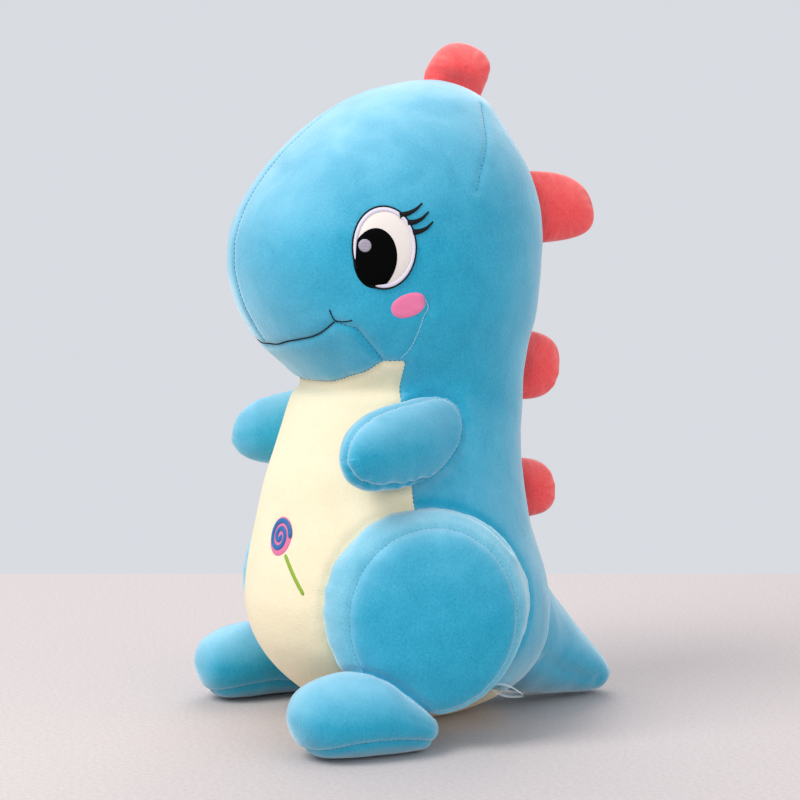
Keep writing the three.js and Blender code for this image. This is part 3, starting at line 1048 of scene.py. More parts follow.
# ---- Trunk and head --------------------------------------------------------------------------
@dataclass
class Trunk:
    """Head and trunk: one bag of two side panels, chin, belly and seat. Lines are (y, z) as seen
    from its left side."""

    crest: tuple[float, float] = (27, 423.5)
    seat: tuple[float, float] = (15, -6)
    # front y, front z, back y, back z, half width
    sections: tuple[tuple[float, ...], ...] = (
        (-16, 417.5, 56, 411, 40),
        (-50, 401.5, 72, 387, 64),
        (-79, 378, 85, 366, 79),
        (-101, 352, 93.5, 342, 87),
        (-114, 327, 96.5, 320, 90),
        (-117, 305, 96, 302, 90),
        (-114, 286, 95, 284, 88),
        (-106, 267, 92, 267, 86),
        (-92, 248, 87, 250, 81),
        (-66.5, 225, 83, 229, 75),
        (-73, 214, 83, 211, 75),
        (-82, 187, 81, 187, 80),
        (-90, 163, 81, 163, 86),
        (-97, 131, 86, 131, 94),
        (-103, 99, 96, 99, 100),
        (-104, 76, 101, 74, 99),
        (-97, 53, 101, 49, 91),
        (-78, 29, 90, 25, 66),
        (-45, 8, 61, 6, 36),
    )
    mouth: tuple[tuple[float, float], ...] = (
        (-130, 248),
        (-97, 249.5),
        (-91, 253),
        (-81, 257.5),
        (-74, 266),
    )
    cheek: tuple[tuple[float, float], ...] = ((-74, 266), (-62, 262), (-43, 241))
    chin: tuple[tuple[float, float], ...] = ((-43, 241), (-50, 233.5), (-62, 226.5), (-130, 217.5))
    belly_edge_y: float = -30
    seat_centre: tuple[float, float] = (0, 14)
    seat_radii: tuple[float, float] = (66, 53)
    jaw_dart: tuple[tuple[float, float], ...] = (
        (-23.5, 269.5),
        (-25.5, 261),
        (-28.5, 250.6),
        (-34, 241.8),
    )
    jaw_tuck: tuple[tuple[float, float], ...] = ((-22.8, 280), (-20.6, 275), (-23.5, 269.5))
    nape_dart: tuple[tuple[float, float], ...] = (
        (36, 404),
        (33, 397),
        (26.5, 377),
        (18.5, 361),
        (13, 347),
    )
    # the belly's foot, which the seat panel covers, and how high the seat panel may reach
    belly_foot_z: float = 4
    seat_top: float = 40
    net_mm: float = 2.1
    columns: int = 264
    # how far a panel's edge is drawn to its seam, in steps of the net
    snap: float = 2.6

    def __post_init__(self) -> None:
        """Lofts the bag, settles it, and finds its seams."""
        stations = [self.section(*row) for row in self.sections]
        crest, seat = ([(0, *end), (0, 0, 0), (0, 0, 0)] for end in (self.crest, self.seat))
        self.loft = Loft([crest, *stations, seat])
        self.skin = Skin(self.loft, self.loft.even_places(self.net_mm), self.columns)
        self.seams = self.find_seams()
        self.labels = self.snap_to_seams()

    def settle(self, joins: Sequence[Seam]) -> None:
        """Settles the bag, also where the limbs are sewn on.

        Args:
            joins: the lines where limbs are sewn on.
        """
        self.skin.settle([*self.seams.values(), *joins], wave=0.6, calm=6)
        self.skin.rest_on_floor()
        self.skin.normals = self.skin.find_normals()

    @staticmethod
    def section(fy: float, fz: float, by: float, bz: float, half: float) -> list[tuple]:
        """Turns a front point, a back point and a half width to a middle and two half axes."""
        middle = (0, (fy + by) / 2, (fz + bz) / 2)
        return [middle, (0, (fy - by) / 2, (fz - bz) / 2), (half, 0, 0)]

    def from_side(self, line: np.ndarray) -> tuple[np.ndarray, np.ndarray, np.ndarray]:
        """Finds the places on the left side of points seen from the side.

        Args:
            line: (n, 2) points, y and z.

        Returns:
            Places, angles, and whether each point is on the bag at all.
        """
        places = np.linspace(*self.loft.ends, 240)
        parts = np.linspace(-0.1, 1.1, 61)
        rows = catmull_rom(self.loft.rows, places)
        net = rows[:, None, 1:3] + rows[:, None, 4:6] * (1 - 2 * parts)[None, :, None]
        far = ((line[:, None, None] - net[None]) ** 2).sum(axis=-1).reshape(len(line), -1)
        best = far.argmin(axis=1)
        place, part = places[best // len(parts)], parts[best % len(parts)]
        for _ in range(8):
            row, ahead = (catmull_rom(self.loft.rows, place + e) for e in (0, 1e-3))
            reach = (1 - 2 * part)[:, None]
            here = row[:, 1:3] + row[:, 4:6] * reach
            along = (ahead[:, 1:3] + ahead[:, 4:6] * reach - here) * 1e3
            across = -2 * row[:, 4:6]
            miss = line - here
            det = along[:, 0] * across[:, 1] - along[:, 1] * across[:, 0]
            det = np.where(np.abs(det) < 1e-6, 1e-6, det)
            step = (miss[:, 0] * across[:, 1] - miss[:, 1] * across[:, 0]) / det
            place = np.clip(place + np.clip(step, -0.5, 0.5), *self.loft.ends)
            part = part + (along[:, 0] * miss[:, 1] - along[:, 1] * miss[:, 0]) / det
        inside = (part >= 0) & (part <= 1)
        return place, np.arccos(1 - 2 * np.clip(part, 0, 1)), inside

    def from_front(self, line: np.ndarray) -> tuple[np.ndarray, np.ndarray]:
        """Finds the places on the front of points seen from the front.

        Args:
            line: (n, 2) points, x and z.

        Returns:
            Places and angles.
        """
        fine = np.linspace(*self.loft.ends, 400)
        front = self.loft.point(fine, 0 * fine)[:, 2]
        place = np.interp(-line[:, 1], -front, fine)
        angle = 0 * place
        for _ in range(12):
            row = catmull_rom(self.loft.rows, place)
            angle = np.arcsin(np.clip(line[:, 0] / row[:, 6], -1, 1))
            here = self.loft.point(place, angle)[:, 2]
            slope = (self.loft.point(place + 1e-3, angle)[:, 2] - here) * 1e3
            place = place + np.clip((line[:, 1] - here) / slope, -0.5, 0.5)
        return place, angle

    def side_line(self, line: Sequence[Sequence[float]], smooth: bool = False) -> np.ndarray:
        """Puts a line seen from the side on the skin's left.

        Args:
            line: its corners, y and z.
            smooth: rounds its corners.

        Returns:
            Its points, in mm.
        """
        dense = resampled(np.array(line, float), 0.8, smooth)
        place, angle, inside = self.from_side(dense)
        return self.loft.point(place[inside], angle[inside])

    def find_seams(self) -> dict[str, Seam]:
        """Gives all the bag's seams, on both sides."""
        mouth = self.side_line(self.mouth, True)
        cheek = self.side_line(self.cheek)
        chin = self.side_line(self.chin)
        nose = mouth[:1] * (0, 1, 1)
        mouth = np.vstack([nose, mouth])
        chin = np.vstack([chin, chin[-1:] * (0, 1, 1)])
        corner = (self.belly_edge_y, self.chin[0][1])
        belly_top = self.side_line([self.chin[0], corner])
        belly = self.side_line([corner, (self.belly_edge_y, self.belly_foot_z)])
        angle = np.linspace(0, TURN, 240)
        around = np.stack(
            [
                self.seat_centre[0] + self.seat_radii[0] * np.cos(angle),
                self.seat_centre[1] + self.seat_radii[1] * np.sin(angle),
            ],
            axis=1,
        )
        low = self.skin.points[self.skin.places > len(self.sections) - 2].reshape(-1, 3)
        order = [int(((low[:, :2] - p) ** 2).sum(axis=1).argmin()) for p in around]
        seat = np.column_stack([around, low[order, 2]])
        plain, deep = SeamStyle(), SeamStyle(depth=2.2, width=2.6, gather=0.7, reach=9)
        lips = SeamStyle(depth=1.3, width=2.0, gather=0.25, reach=6)
        front = SeamStyle(depth=1.2, width=2.0, gather=0.3, reach=6)
        soft = SeamStyle(depth=0.8, width=1.8, gather=0.2, reach=6, roll=0.2)
        shallow = SeamStyle(depth=0.9, width=1.8, gather=0.18, reach=5, roll=0.25)
        rows = self.skin.points
        nose_end = int(np.argmin(np.abs(rows[:, 0] - nose).sum(axis=-1)))
        half = self.columns // 2
        seams = {
            "nose": Seam(rows[:nose_end, 0], shallow),
            "spine": Seam(rows[:, half], shallow),
            "seat": Seam(seat, soft, CREAM_THREAD),
        }
        left = {
            "mouth": Seam(mouth, lips, None),
            "cheek": Seam(cheek, plain),
            "chin": Seam(chin, deep),
            "belly_top": Seam(belly_top, plain),
            "belly": Seam(belly, front),
            "jaw_dart": Seam(self.side_line(self.jaw_dart, True), shallow, PALE_STITCH_AND_HIGHLIGHT),
            # The jaw tuck's pale stitches are a painted highlight along the tuck.
            "jaw_tuck": Seam(self.side_line(self.jaw_tuck, True), deep, PALE_STITCH_AND_HIGHLIGHT),
            "nape_dart": Seam(self.side_line(self.nape_dart, True), shallow),
        }
        for name, seam in left.items():
            seams[f"{name}_left"] = seam
            mirrored = seam.points * Side.RIGHT.flip
            seams[f"{name}_right"] = Seam(mirrored, seam.style, seam.thread)
        return seams

    def snap_to_seams(self) -> np.ndarray:
        """Sorts the net's faces into panels and draws their edges onto the seams.

        Returns:
            Each face's panel, counted as build makes them.
        """
        centres = self.skin.centres()
        x, y, z = (centres[..., k] for k in range(3))
        labels = np.where(x > 0, 0, 1)
        chin = [*self.mouth, *self.cheek[1:], *self.chin[1:]]
        belly = [(self.belly_edge_y, self.chin[0][1]), *self.chin]
        belly += [(-130, -20), (self.belly_edge_y, -20)]
        labels[inside_outline(belly, y, z)] = 3
        labels[inside_outline(chin, y, z)] = 2
        ring = ((x - self.seat_centre[0]) / self.seat_radii[0]) ** 2
        ring = ring + ((y - self.seat_centre[1]) / self.seat_radii[1]) ** 2
        labels[(ring < 1) & (z < self.seat_top)] = 4
        around = faces_around(labels)
        low, high = np.minimum.reduce(around), np.maximum.reduce(around)
        edge = (low != high) & (high > 1)
        inner = ("nose", "spine", "dart", "tuck")
        cut = [seam for name, seam in self.seams.items() if not any(w in name for w in inner)]
        tree = point_tree(np.vstack([resampled(seam.points, 0.5) for seam in cut]))
        for i, j in zip(*np.nonzero(edge)):
            near, _, gap = tree.find(self.skin.points[i, j])
            if gap < self.snap * self.net_mm:
                self.skin.points[i, j] = near
        self.skin.points[:, -1] = self.skin.points[:, 0]
        return labels

    def build(self, bench: Bench) -> None:
        """Makes the bag's panels and its sewing.

        Args:
            bench: the bench.
        """
        panels = (
            ("trunk_side_left", TEAL, ("side_panel_left", "body_stuffing")),
            ("trunk_side_right", TEAL, ("side_panel_right",)),
            ("chin_front", TEAL, ("chin_panel",)),
            ("belly_front", CREAM, ("belly_panel",)),
            ("seat_base", CREAM, ("seat_panel",)),
        )
        for number, (name, finish, nodes) in enumerate(panels):
            piece = self.skin.panel(bench, name, self.labels == number, finish)
            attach(piece, "trunk")
            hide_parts(*nodes)
        by_thread: dict[str, tuple[Finish, list]] = {}
        for seam in self.seams.values():
            if seam.thread is not None:
                entry = by_thread.setdefault(seam.thread.name, (seam.thread, []))
                entry[1].append(self.on_skin(seam.points))
        for thread, lines in by_thread.values():
            name = f"trunk_{thread.slot.value}_stitches"
            stitch = JAW_STITCH if thread is PALE_STITCH_AND_HIGHLIGHT else PANEL_STITCH
            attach(sew(bench, name, lines, thread, stitch), "trunk")

    def on_skin(self, points: np.ndarray, height: float = 0.0) -> tuple[np.ndarray, np.ndarray]:
        """Puts a line on the settled skin.

        Args:
            points: the line, on the unsettled bag.
            height: how far above the skin.

        Returns:
            Points and ways out.
        """
        on, normals = self.skin.follow(points)
        return on + normals * height, normals


def inside_outline(outline: Sequence[Sequence[float]], y: np.ndarray, z: np.ndarray) -> np.ndarray:
    """Tells which points are inside a closed outline.

    Args:
        outline: its corners.
        y: the points' first coordinates.
        z: their second coordinates.

    Returns:
        True where a point is inside.
    """
    inside = np.zeros(y.shape, bool)
    for (y0, z0), (y1, z1) in zip(outline, [*outline[1:], outline[0]]):
        if z0 == z1:
            continue
        crosses = (z0 > z) != (z1 > z)
        inside ^= crosses & (y < (y1 - y0) * (z - z0) / (z1 - z0) + y0)
    return inside


# ---- Embroidery ------------------------------------------------------------------------------
@dataclass
class Embroidery:
    """What is stitched on the bag: eyes, lashes, blush, mouth and the lollipop. Places are (y, z)
    as seen from the left, and (x, z) as seen from the front for the lollipop."""

    trunk: Trunk
    eye: tuple[float, float, float, float] = (-49, 311.9, 18.4, 25)
    pupil: tuple[float, float, float, float] = (-54.2, 306, 13.4, 19.6)
    glint: tuple[float, float, float, float] = (-60.6, 313, 4.1, 4.6)
    rim: float = 3.2
    white_inset: float = 1.2
    outline: float = 0.55
    # how high each layer stands on the skin
    white_height: float = 0.9
    rim_height: float = 1.15
    pupil_height: float = 1.75
    glint_height: float = 2.35
    flat_height: float = 0.8
    # how far a patch's edge goes under the skin
    edge_sunk: float = 0.35
    lashes: tuple[tuple[tuple[float, float], ...], ...] = (
        ((9, 19.5), (14, 20.8), (19, 23.3), (23.5, 27.2)),
        ((13.5, 15), (18.5, 15.8), (23, 18), (27.2, 22)),
        ((16.5, 9.3), (21, 10), (25.5, 12), (29.7, 15.8)),
    )
    lash_base: float = 2.0
    lash_tip: float = 0.5
    blush: tuple[float, float, float, float] = (-33.4, 276.5, 11.4, 7.5)
    blush_tilt: float = 20
    # under 1 makes the blush's outline squarer than an oval
    blush_square: float = 0.92
    # how high the mouth's stitches and its forks lie
    mouth_height: float = 0.35
    fork_height: float = 0.15
    mouth_forks: tuple[tuple[tuple[float, float], ...], ...] = (
        ((-74, 267), (-75.5, 269.5), (-77.5, 274)),
        ((-74, 267), (-70, 266.2), (-65, 267.5)),
    )
    candy: tuple[float, float, float, float] = (22.6, 128.7, 11.2, 13)
    candy_turns: float = 2.05
    # where the swirl starts, and how much further out it ends, as a part of the candy
    swirl_reach: tuple[float, float] = (0.06, 0.8)
    stick: tuple[tuple[float, float], ...] = ((30.5, 118), (50, 95))
    # the half width of each run of thread, and how high its middle is
    swirl_thread: tuple[float, float] = (1.7, 0.75)
    stick_thread: tuple[float, float] = (1.35, 0.2)

    def place_side(
        self, line: np.ndarray, side: Side, height: np.ndarray | float
    ) -> tuple[np.ndarray, np.ndarray]:
        """Puts points seen from the side on the settled skin.

        Args:
            line: (n, 2) points, y and z.
            side: which side.
            height: how far above the skin.

        Returns:
            Points and ways out.
        """
        place, angle, _ = self.trunk.from_side(line)
        points, normals = self.trunk.skin.sample(place, angle * side.value)
        return points + normals * np.reshape(height, (-1, 1)), normals

    def patch(
        self,
        bench: Bench,
        name: str,
        centre: tuple[float, float],
        outline: Callable[[np.ndarray], np.ndarray],
        side: Side | None,
        height: float,
        finish: Finish,
        inner: float = 0.0,
        rows: int = 14,
        columns: int = 72,
    ) -> bpy.types.Object:
        """Makes a raised patch of satin stitch.

        Args:
            bench: the bench.
            name: the patch's name.
            centre: its middle.
            outline: gives its outline, from the middle, for angles.
            side: which side, or none for the front.
            height: its height above the skin.
            finish: its thread.
            inner: where a ring starts, as a part of the outline.
            rows: rows from the middle to the edge.
            columns: columns around.

        Returns:
            The patch.
        """
        angle = np.linspace(0, TURN, columns + 1)
        part = np.linspace(inner, 1, rows + 1) if inner else np.linspace(0, 1, rows + 1) ** 0.8
        reach = np.array(outline(angle))
        flat = np.array(centre) + part[:, None, None] * reach[None]
        if inner:
            crown = 1 - np.abs(2 * (part - inner) / (1 - inner) - 1) ** 4
        else:
            crown = 1 - part**9
        lift = height * crown - self.edge_sunk * (1 - crown)
        lifts = np.repeat(lift, columns + 1)
        if side is None:
            place, around = self.trunk.from_front(flat.reshape(-1, 2))
            points, normals = self.trunk.skin.sample(place, around)
            points = points + normals * lifts[:, None]
        else:
            points, normals = self.place_side(flat.reshape(-1, 2), side, lifts)
        net = points.reshape(rows + 1, columns + 1, 3)
        piece = lay_grid(
            name,
            bench.metres(net),
            normals.reshape(net.shape),
            uv=(flat - np.array(centre)) * UV_PER_MM + 0.5,
        )
        return bench.dress(piece, finish)

    @staticmethod
    def oval(ry: float, rz: float) -> Callable[[np.ndarray], np.ndarray]:
        """Gives an oval's outline."""
        return lambda angle: np.stack([ry * np.cos(angle), rz * np.sin(angle)], axis=-1)

    def pill(self, half: float, thick: float, tilt: float) -> Callable[[np.ndarray], np.ndarray]:
        """Gives the outline of a round-ended bar."""
        turn = math.radians(tilt)

        def outline(angle: np.ndarray) -> np.ndarray:
            """Follows a squarish oval, turned."""
            cos, sin = np.cos(angle), np.sin(angle)
            y = half * np.sign(cos) * np.abs(cos) ** self.blush_square
            z = thick * np.sign(sin) * np.abs(sin) ** self.blush_square
            return np.stack(
                [y * math.cos(turn) - z * math.sin(turn), y * math.sin(turn) + z * math.cos(turn)],
                axis=-1,
            )

        return outline

    def build(self, bench: Bench) -> None:
        """Makes all the embroidery.

        Args:
            bench: the bench.
        """
        for side in Side:
            self.build_eye(bench, side)
        self.build_mouth(bench)
        self.build_lollipop(bench)

    def build_eye(self, bench: Bench, side: Side) -> None:
        """Makes one eye, its lashes and the blush below it.

        Args:
            bench: the bench.
            side: which side.
        """
        word = side.word
        y, z, ry, rz = self.eye
        white = (y, z, ry - self.white_inset, rz - self.white_inset)
        hoop = {"inner": 1 - self.rim / rz, "rows": 8, "columns": 96}
        small = {"rows": 8, "columns": 36}
        layers = (
            ("white", white, self.white_height, IVORY_SATIN, "eye_patch", {}),
            ("rim", self.eye, self.rim_height, RIM_SATIN, None, hoop),
            ("pupil", self.pupil, self.pupil_height, BLACK_SATIN, "pupil", {}),
            ("glint", self.glint, self.glint_height, LILAC_SATIN, "eye_highlight", small),
        )
        made = []
        for name, (cy, cz, half, high), height, finish, node, net in layers:
            layer = self.patch(
                bench,
                f"eye_{name}_{word}",
                (cy, cz),
                self.oval(half, high),
                side,
                height,
                finish,
                **net,
            )
            if node is not None:
                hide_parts(f"{node}_{word}")
            made.append(layer)
        angle = np.linspace(0, TURN, 150, endpoint=False)
        ring = np.array([y, z]) + self.oval(ry + 0.1, rz + 0.1)(angle)
        points, normals = self.place_side(ring, side, 0.55)
        border = thread_tube(
            bench,
            f"eye_border_{word}",
            points,
            normals,
            np.full(len(ring), self.outline),
            BLACK_THREAD,
            flat=1.0,
            closed=True,
            twist=0.35,
        )
        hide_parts(f"eye_outline_stitching_{word}")
        made.append(border)
        for number, lash in enumerate(self.lashes, 1):
            line = resampled(np.array(lash, float) + (y, z), 0.8, smooth=True)
            points, normals = self.place_side(line, side, 0.3)
            part = np.linspace(0, 1, len(line))
            radii = self.lash_base + (self.lash_tip - self.lash_base) * part**0.9
            name = f"eyelash_{word}_{number}"
            made.append(thread_tube(bench, name, points, normals, radii, BLACK_THREAD, flat=0.7))
        by, bz, half, thick = self.blush
        pill = self.pill(half, thick, self.blush_tilt)
        cheek = self.patch(
            bench, f"cheek_blush_{word}", (by, bz), pill, side, self.flat_height, PINK_SATIN
        )
        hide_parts(f"blush_patch_{word}")
        made.append(cheek)
        for piece in made:
            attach(piece, "trunk")

    def build_mouth(self, bench: Bench) -> None:
        """Makes the mouth's line of black backstitch.

        Args:
            bench: the bench.
        """
        lines = []
        for side in Side:
            mouth = self.trunk.seams["mouth_left"].points * side.flip
            lines.append(self.trunk.on_skin(mouth, self.mouth_height))
            for fork in self.mouth_forks:
                dense = resampled(np.array(fork, float), 0.8, smooth=True)
                lines.append(self.place_side(dense, side, self.fork_height))
        line = sew(bench, "mouth_backstitch", lines, BLACK_THREAD, MOUTH_STITCH)
        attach(line, "trunk")
        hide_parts("mouth_stitching")

    def build_lollipop(self, bench: Bench) -> None:
        """Makes the lollipop on the belly: a pink disc, a blue swirl and a green stick.

        Args:
            bench: the bench.
        """
        x, z, rx, rz = self.candy
        disc = self.patch(
            bench, "lollipop_disc", (x, z), self.oval(rx, rz), None, self.flat_height, CANDY_PINK
        )
        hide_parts("lollipop_candy")
        part = np.linspace(0, 1, 160)
        turn = TURN * self.candy_turns * (1 - part)
        reach = self.swirl_reach[0] + self.swirl_reach[1] * part
        swirl_line = np.stack(
            [x + rx * reach * np.cos(turn), z + rz * reach * np.sin(turn)], axis=1
        )
        swirl = self.front_thread(
            bench, "lollipop_swirl", swirl_line, *self.swirl_thread, CANDY_BLUE
        )
        stick_line = resampled(np.array(self.stick, float), 0.8)
        stick = self.front_thread(
            bench, "lollipop_stick_thread", stick_line, *self.stick_thread, GREEN_SATIN
        )
        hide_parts("lollipop_stick")
        for piece in (disc, swirl, stick):
            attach(piece, "trunk")

    def front_thread(
        self,
        bench: Bench,
        name: str,
        line: np.ndarray,
        radius: float,
        height: float,
        finish: Finish,
    ) -> bpy.types.Object:
        """Lays a run of thread on the belly.

        Args:
            bench: the bench.
            name: the piece's name.
            line: (n, 2) points, x and z.
            radius: its half width.
            height: how far above the skin.
            finish: its thread.

        Returns:
            The piece.
        """
        place, angle = self.trunk.from_front(line)
        points, normals = self.trunk.skin.sample(place, angle)
        ends = np.minimum(np.arange(len(line)), np.arange(len(line))[::-1])
        radii = radius * np.sqrt(np.clip((ends + 1.0) / 3.0, 0.15, 1))
        return thread_tube(
            bench, name, points + normals * height, normals, radii, finish, flat=0.45
        )


# ---- Legs ------------------------------------------------------------------------------------
@dataclass
class Leg:
    """A thigh cushion on the hip's axis, and the foot sewn under it. Made for the left side."""

    side: Side
    hip: tuple[float, float, float] = (97, -27.5, 84)
    hip_turn: float = 17
    # along the axis: half length front to back, half height, middle moved back, moved up
    thigh: tuple[tuple[float, ...], ...] = (
        (-46, 0, 0, 14, 2),
        (-46, 58, 46, 14, 2),
        (-40, 62.5, 54, 10.5, 2),
        (-27, 64.3, 60, 6.3, 2.5),
        (-13, 64.5, 64.5, 2, 3),
        (-3, 61.3, 63, 2.3, 1.5),
        (5, 53, 58, 4.3, -1.5),
        (10.5, 43.5, 48, 4.3, -1.5),
        (14, 28, 31, 4.3, -1.5),
        (15.5, 12, 13, 4.3, -1.5),
        (16, 0, 0, 4.3, -1.5),
    )
    seam_at: float = 5
    # the fold in the band behind its top: its row, and its first and last column
    fold_row: float = 5.3
    fold_columns: tuple[int, int] = (19, 52)
    # y, middle x, half width, bottom, top
    foot: tuple[tuple[float, ...], ...] = (
        (-114.5, 88, 0, 27, 27),
        (-109, 88, 17, 12, 41),
        (-97, 89, 24.5, 2.5, 48.5),
        (-80, 90, 27, 0, 52),
        (-60, 92, 26.5, 0, 50),
        (-42, 92, 24, 0, 39.5),
        (-27, 91, 18, 2, 28),
        (-18, 90, 0, 13, 13),
    )
    # the sole's edge: lowest and highest
    sole: tuple[float, float] = (5, 13.5)
    # a start and a stop along the axis, in mm
    bend: tuple[float, float] = (-26, 3)
    thigh_net_mm: float = 2.0
    thigh_columns: int = 190
    foot_net_mm: float = 1.9
    foot_columns: int = 96

    def __post_init__(self) -> None:
        """Lofts the thigh and the foot."""
        turn = math.radians(self.hip_turn)
        self.axis = np.array([math.cos(turn), -math.sin(turn), 0])
        self.centre = np.array(self.hip, float)
        back = np.array([math.sin(turn), math.cos(turn), 0])
        rise = np.array([0, 0, 1.0])
        thigh = Loft(
            [
                [self.centre + self.axis * a + back * aft + rise * up, back * ry, rise * rz]
                for a, ry, rz, aft, up in self.thigh
            ]
        )
        place = 1.0 + [row[0] for row in self.thigh].index(self.seam_at)
        rows = thigh.even_places(self.thigh_net_mm, [place])
        self.thigh_skin = Skin(thigh, rows, self.thigh_columns)
        self.seam_row = int(np.argmin(np.abs(self.thigh_skin.places - place)))
        foot = Loft.lying(self.foot)
        self.foot_skin = Skin(foot, foot.even_places(self.foot_net_mm), self.foot_columns)

    def join(self, trunk: Skin) -> Seam:
        """Gives the line where the thigh is sewn to the trunk.

        Args:
            trunk: the trunk's skin.

        Returns:
            The seam, on this leg's side.
        """
        self.root = meeting_line(self.thigh_skin, trunk)
        style = SeamStyle(depth=1.6, width=3.5, gather=0.5, reach=9)
        return Seam(self.root * self.side.flip, style, None)

    def build(self, bench: Bench) -> None:
        """Makes the leg's panels and its sewing.

        Args:
            bench: the bench.
        """
        side, word, thigh = self.side, self.side.word, self.thigh_skin
        crease = meeting_line(self.foot_skin, thigh)
        ring = thigh.points[self.seam_row].copy()
        pulled = SeamStyle(depth=1.5, width=2.2, gather=0.6, reach=9, spacing=7)
        gathered = SeamStyle(depth=1.4, width=3.5, gather=1.3, reach=13, spacing=7.5)
        tucked = SeamStyle(depth=2.0, width=3.5, gather=0.7, reach=12, spacing=9)
        folded = SeamStyle(depth=2.2, width=3.2, gather=0.4, reach=8, roll=0.9)
        row = int(np.argmin(np.abs(thigh.places - self.fold_row)))
        fold = thigh.points[row, slice(*self.fold_columns)].copy()
        lines = ((ring, pulled), (self.root, gathered), (crease, tucked), (fold, folded))
        seams = [Seam(line, style) for line, style in lines]
        thigh.settle(seams, wave=0.7, seed=3.0 + side.value)
        thigh.normals = thigh.find_normals()
        outer = np.arange(len(thigh.places) - 1)[:, None] >= self.seam_row
        outer = np.broadcast_to(outer, (len(thigh.places) - 1, self.thigh_columns))
        panel = thigh.panel(bench, f"thigh_outer_{word}", outer, TEAL, side)
        # The band gets the paler copy of the teal plush, a painted sheen.
        gusset = thigh.panel(bench, f"thigh_band_{word}", ~outer, TEAL_WITH_PAINTED_SHEEN, side)
        body = f"leg_{word}"
        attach(panel, body)
        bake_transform(gusset)
        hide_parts(f"thigh_outer_panel_{word}")
        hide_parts(f"thigh_gusset_{word}", f"thigh_stuffing_{word}")
        row = self.seam_row
        line = thigh.points[row] * side.flip, thigh.normals[row] * side.flip
        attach(sew(bench, f"thigh_stitches_{word}", [line], TEAL_THREAD), body)
        self.build_foot(bench, crease)

    def build_foot(self, bench: Bench, crease: np.ndarray) -> None:
        """Makes the foot.

        Args:
            bench: the bench.
            crease: the line where it goes into the thigh.
        """
        side, word, foot = self.side, self.side.word, self.foot_skin
        centres = foot.centres()
        sole = centres[..., 2] < self.sole_level(centres[..., 1])
        edge = foot.points[self.snap_to_sole(sole)]
        middle = edge.mean(axis=0)
        order = np.argsort(np.arctan2(edge[:, 1] - middle[1], edge[:, 0] - middle[0]))
        edge = np.vstack([edge[order], edge[order[:1]]])
        sewn = SeamStyle(depth=1.3, width=2.2, gather=0.5, reach=7)
        tucked = SeamStyle(depth=1.8, width=3.5, gather=0.6, reach=12, spacing=9)
        seams = [Seam(edge, sewn), Seam(crease, tucked)]
        foot.settle(seams, wave=0.7, seed=7.0 + side.value, calm=2)
        foot.rest_on_floor(1.2)
        foot.normals = foot.find_normals()
        upper = foot.panel(bench, f"foot_top_{word}", ~sole, TEAL, side)
        under = foot.panel(bench, f"foot_base_{word}", sole, TEAL, side)
        lines = [foot.follow(edge, side), foot.follow(crease, side)]
        stitches = sew(bench, f"foot_stitches_{word}", lines, TEAL_THREAD)
        for piece in (upper, under, stitches):
            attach(piece, f"leg_{word}")
        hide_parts(f"foot_upper_{word}", f"foot_stuffing_{word}")
        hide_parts(f"foot_sole_{word}")

    def sole_level(self, y: np.ndarray) -> np.ndarray:
        """Gives the height of the sole's edge, which bows up between toe and heel."""
        toe, heel = self.foot[0][0], self.foot[-1][0]
        low, high = self.sole
        return low + (high - low) * np.sin(math.pi * np.clip((y - toe) / (heel - toe), 0, 1))

    def snap_to_sole(self, sole: np.ndarray) -> np.ndarray:
        """Draws the sole's edge onto its line.

        Args:
            sole: which faces of the foot are the sole.

        Returns:
            Which points of the net are on the edge.
        """
        foot, around = self.foot_skin, faces_around(sole)
        edge = np.logical_or.reduce(around) & ~np.logical_and.reduce(around)
        for i, j in zip(*np.nonzero(edge)):
            normal = foot.normals[i, j]
            slide = np.array([0, 0, 1.0]) - normal * normal[2]
            if slide[2] > 0.05:
                gap = self.sole_level(foot.points[i, j, 1]) - foot.points[i, j, 2]
                foot.points[i, j] += slide * gap / slide[2]
        foot.points[:, -1] = foot.points[:, 0]
        return edge


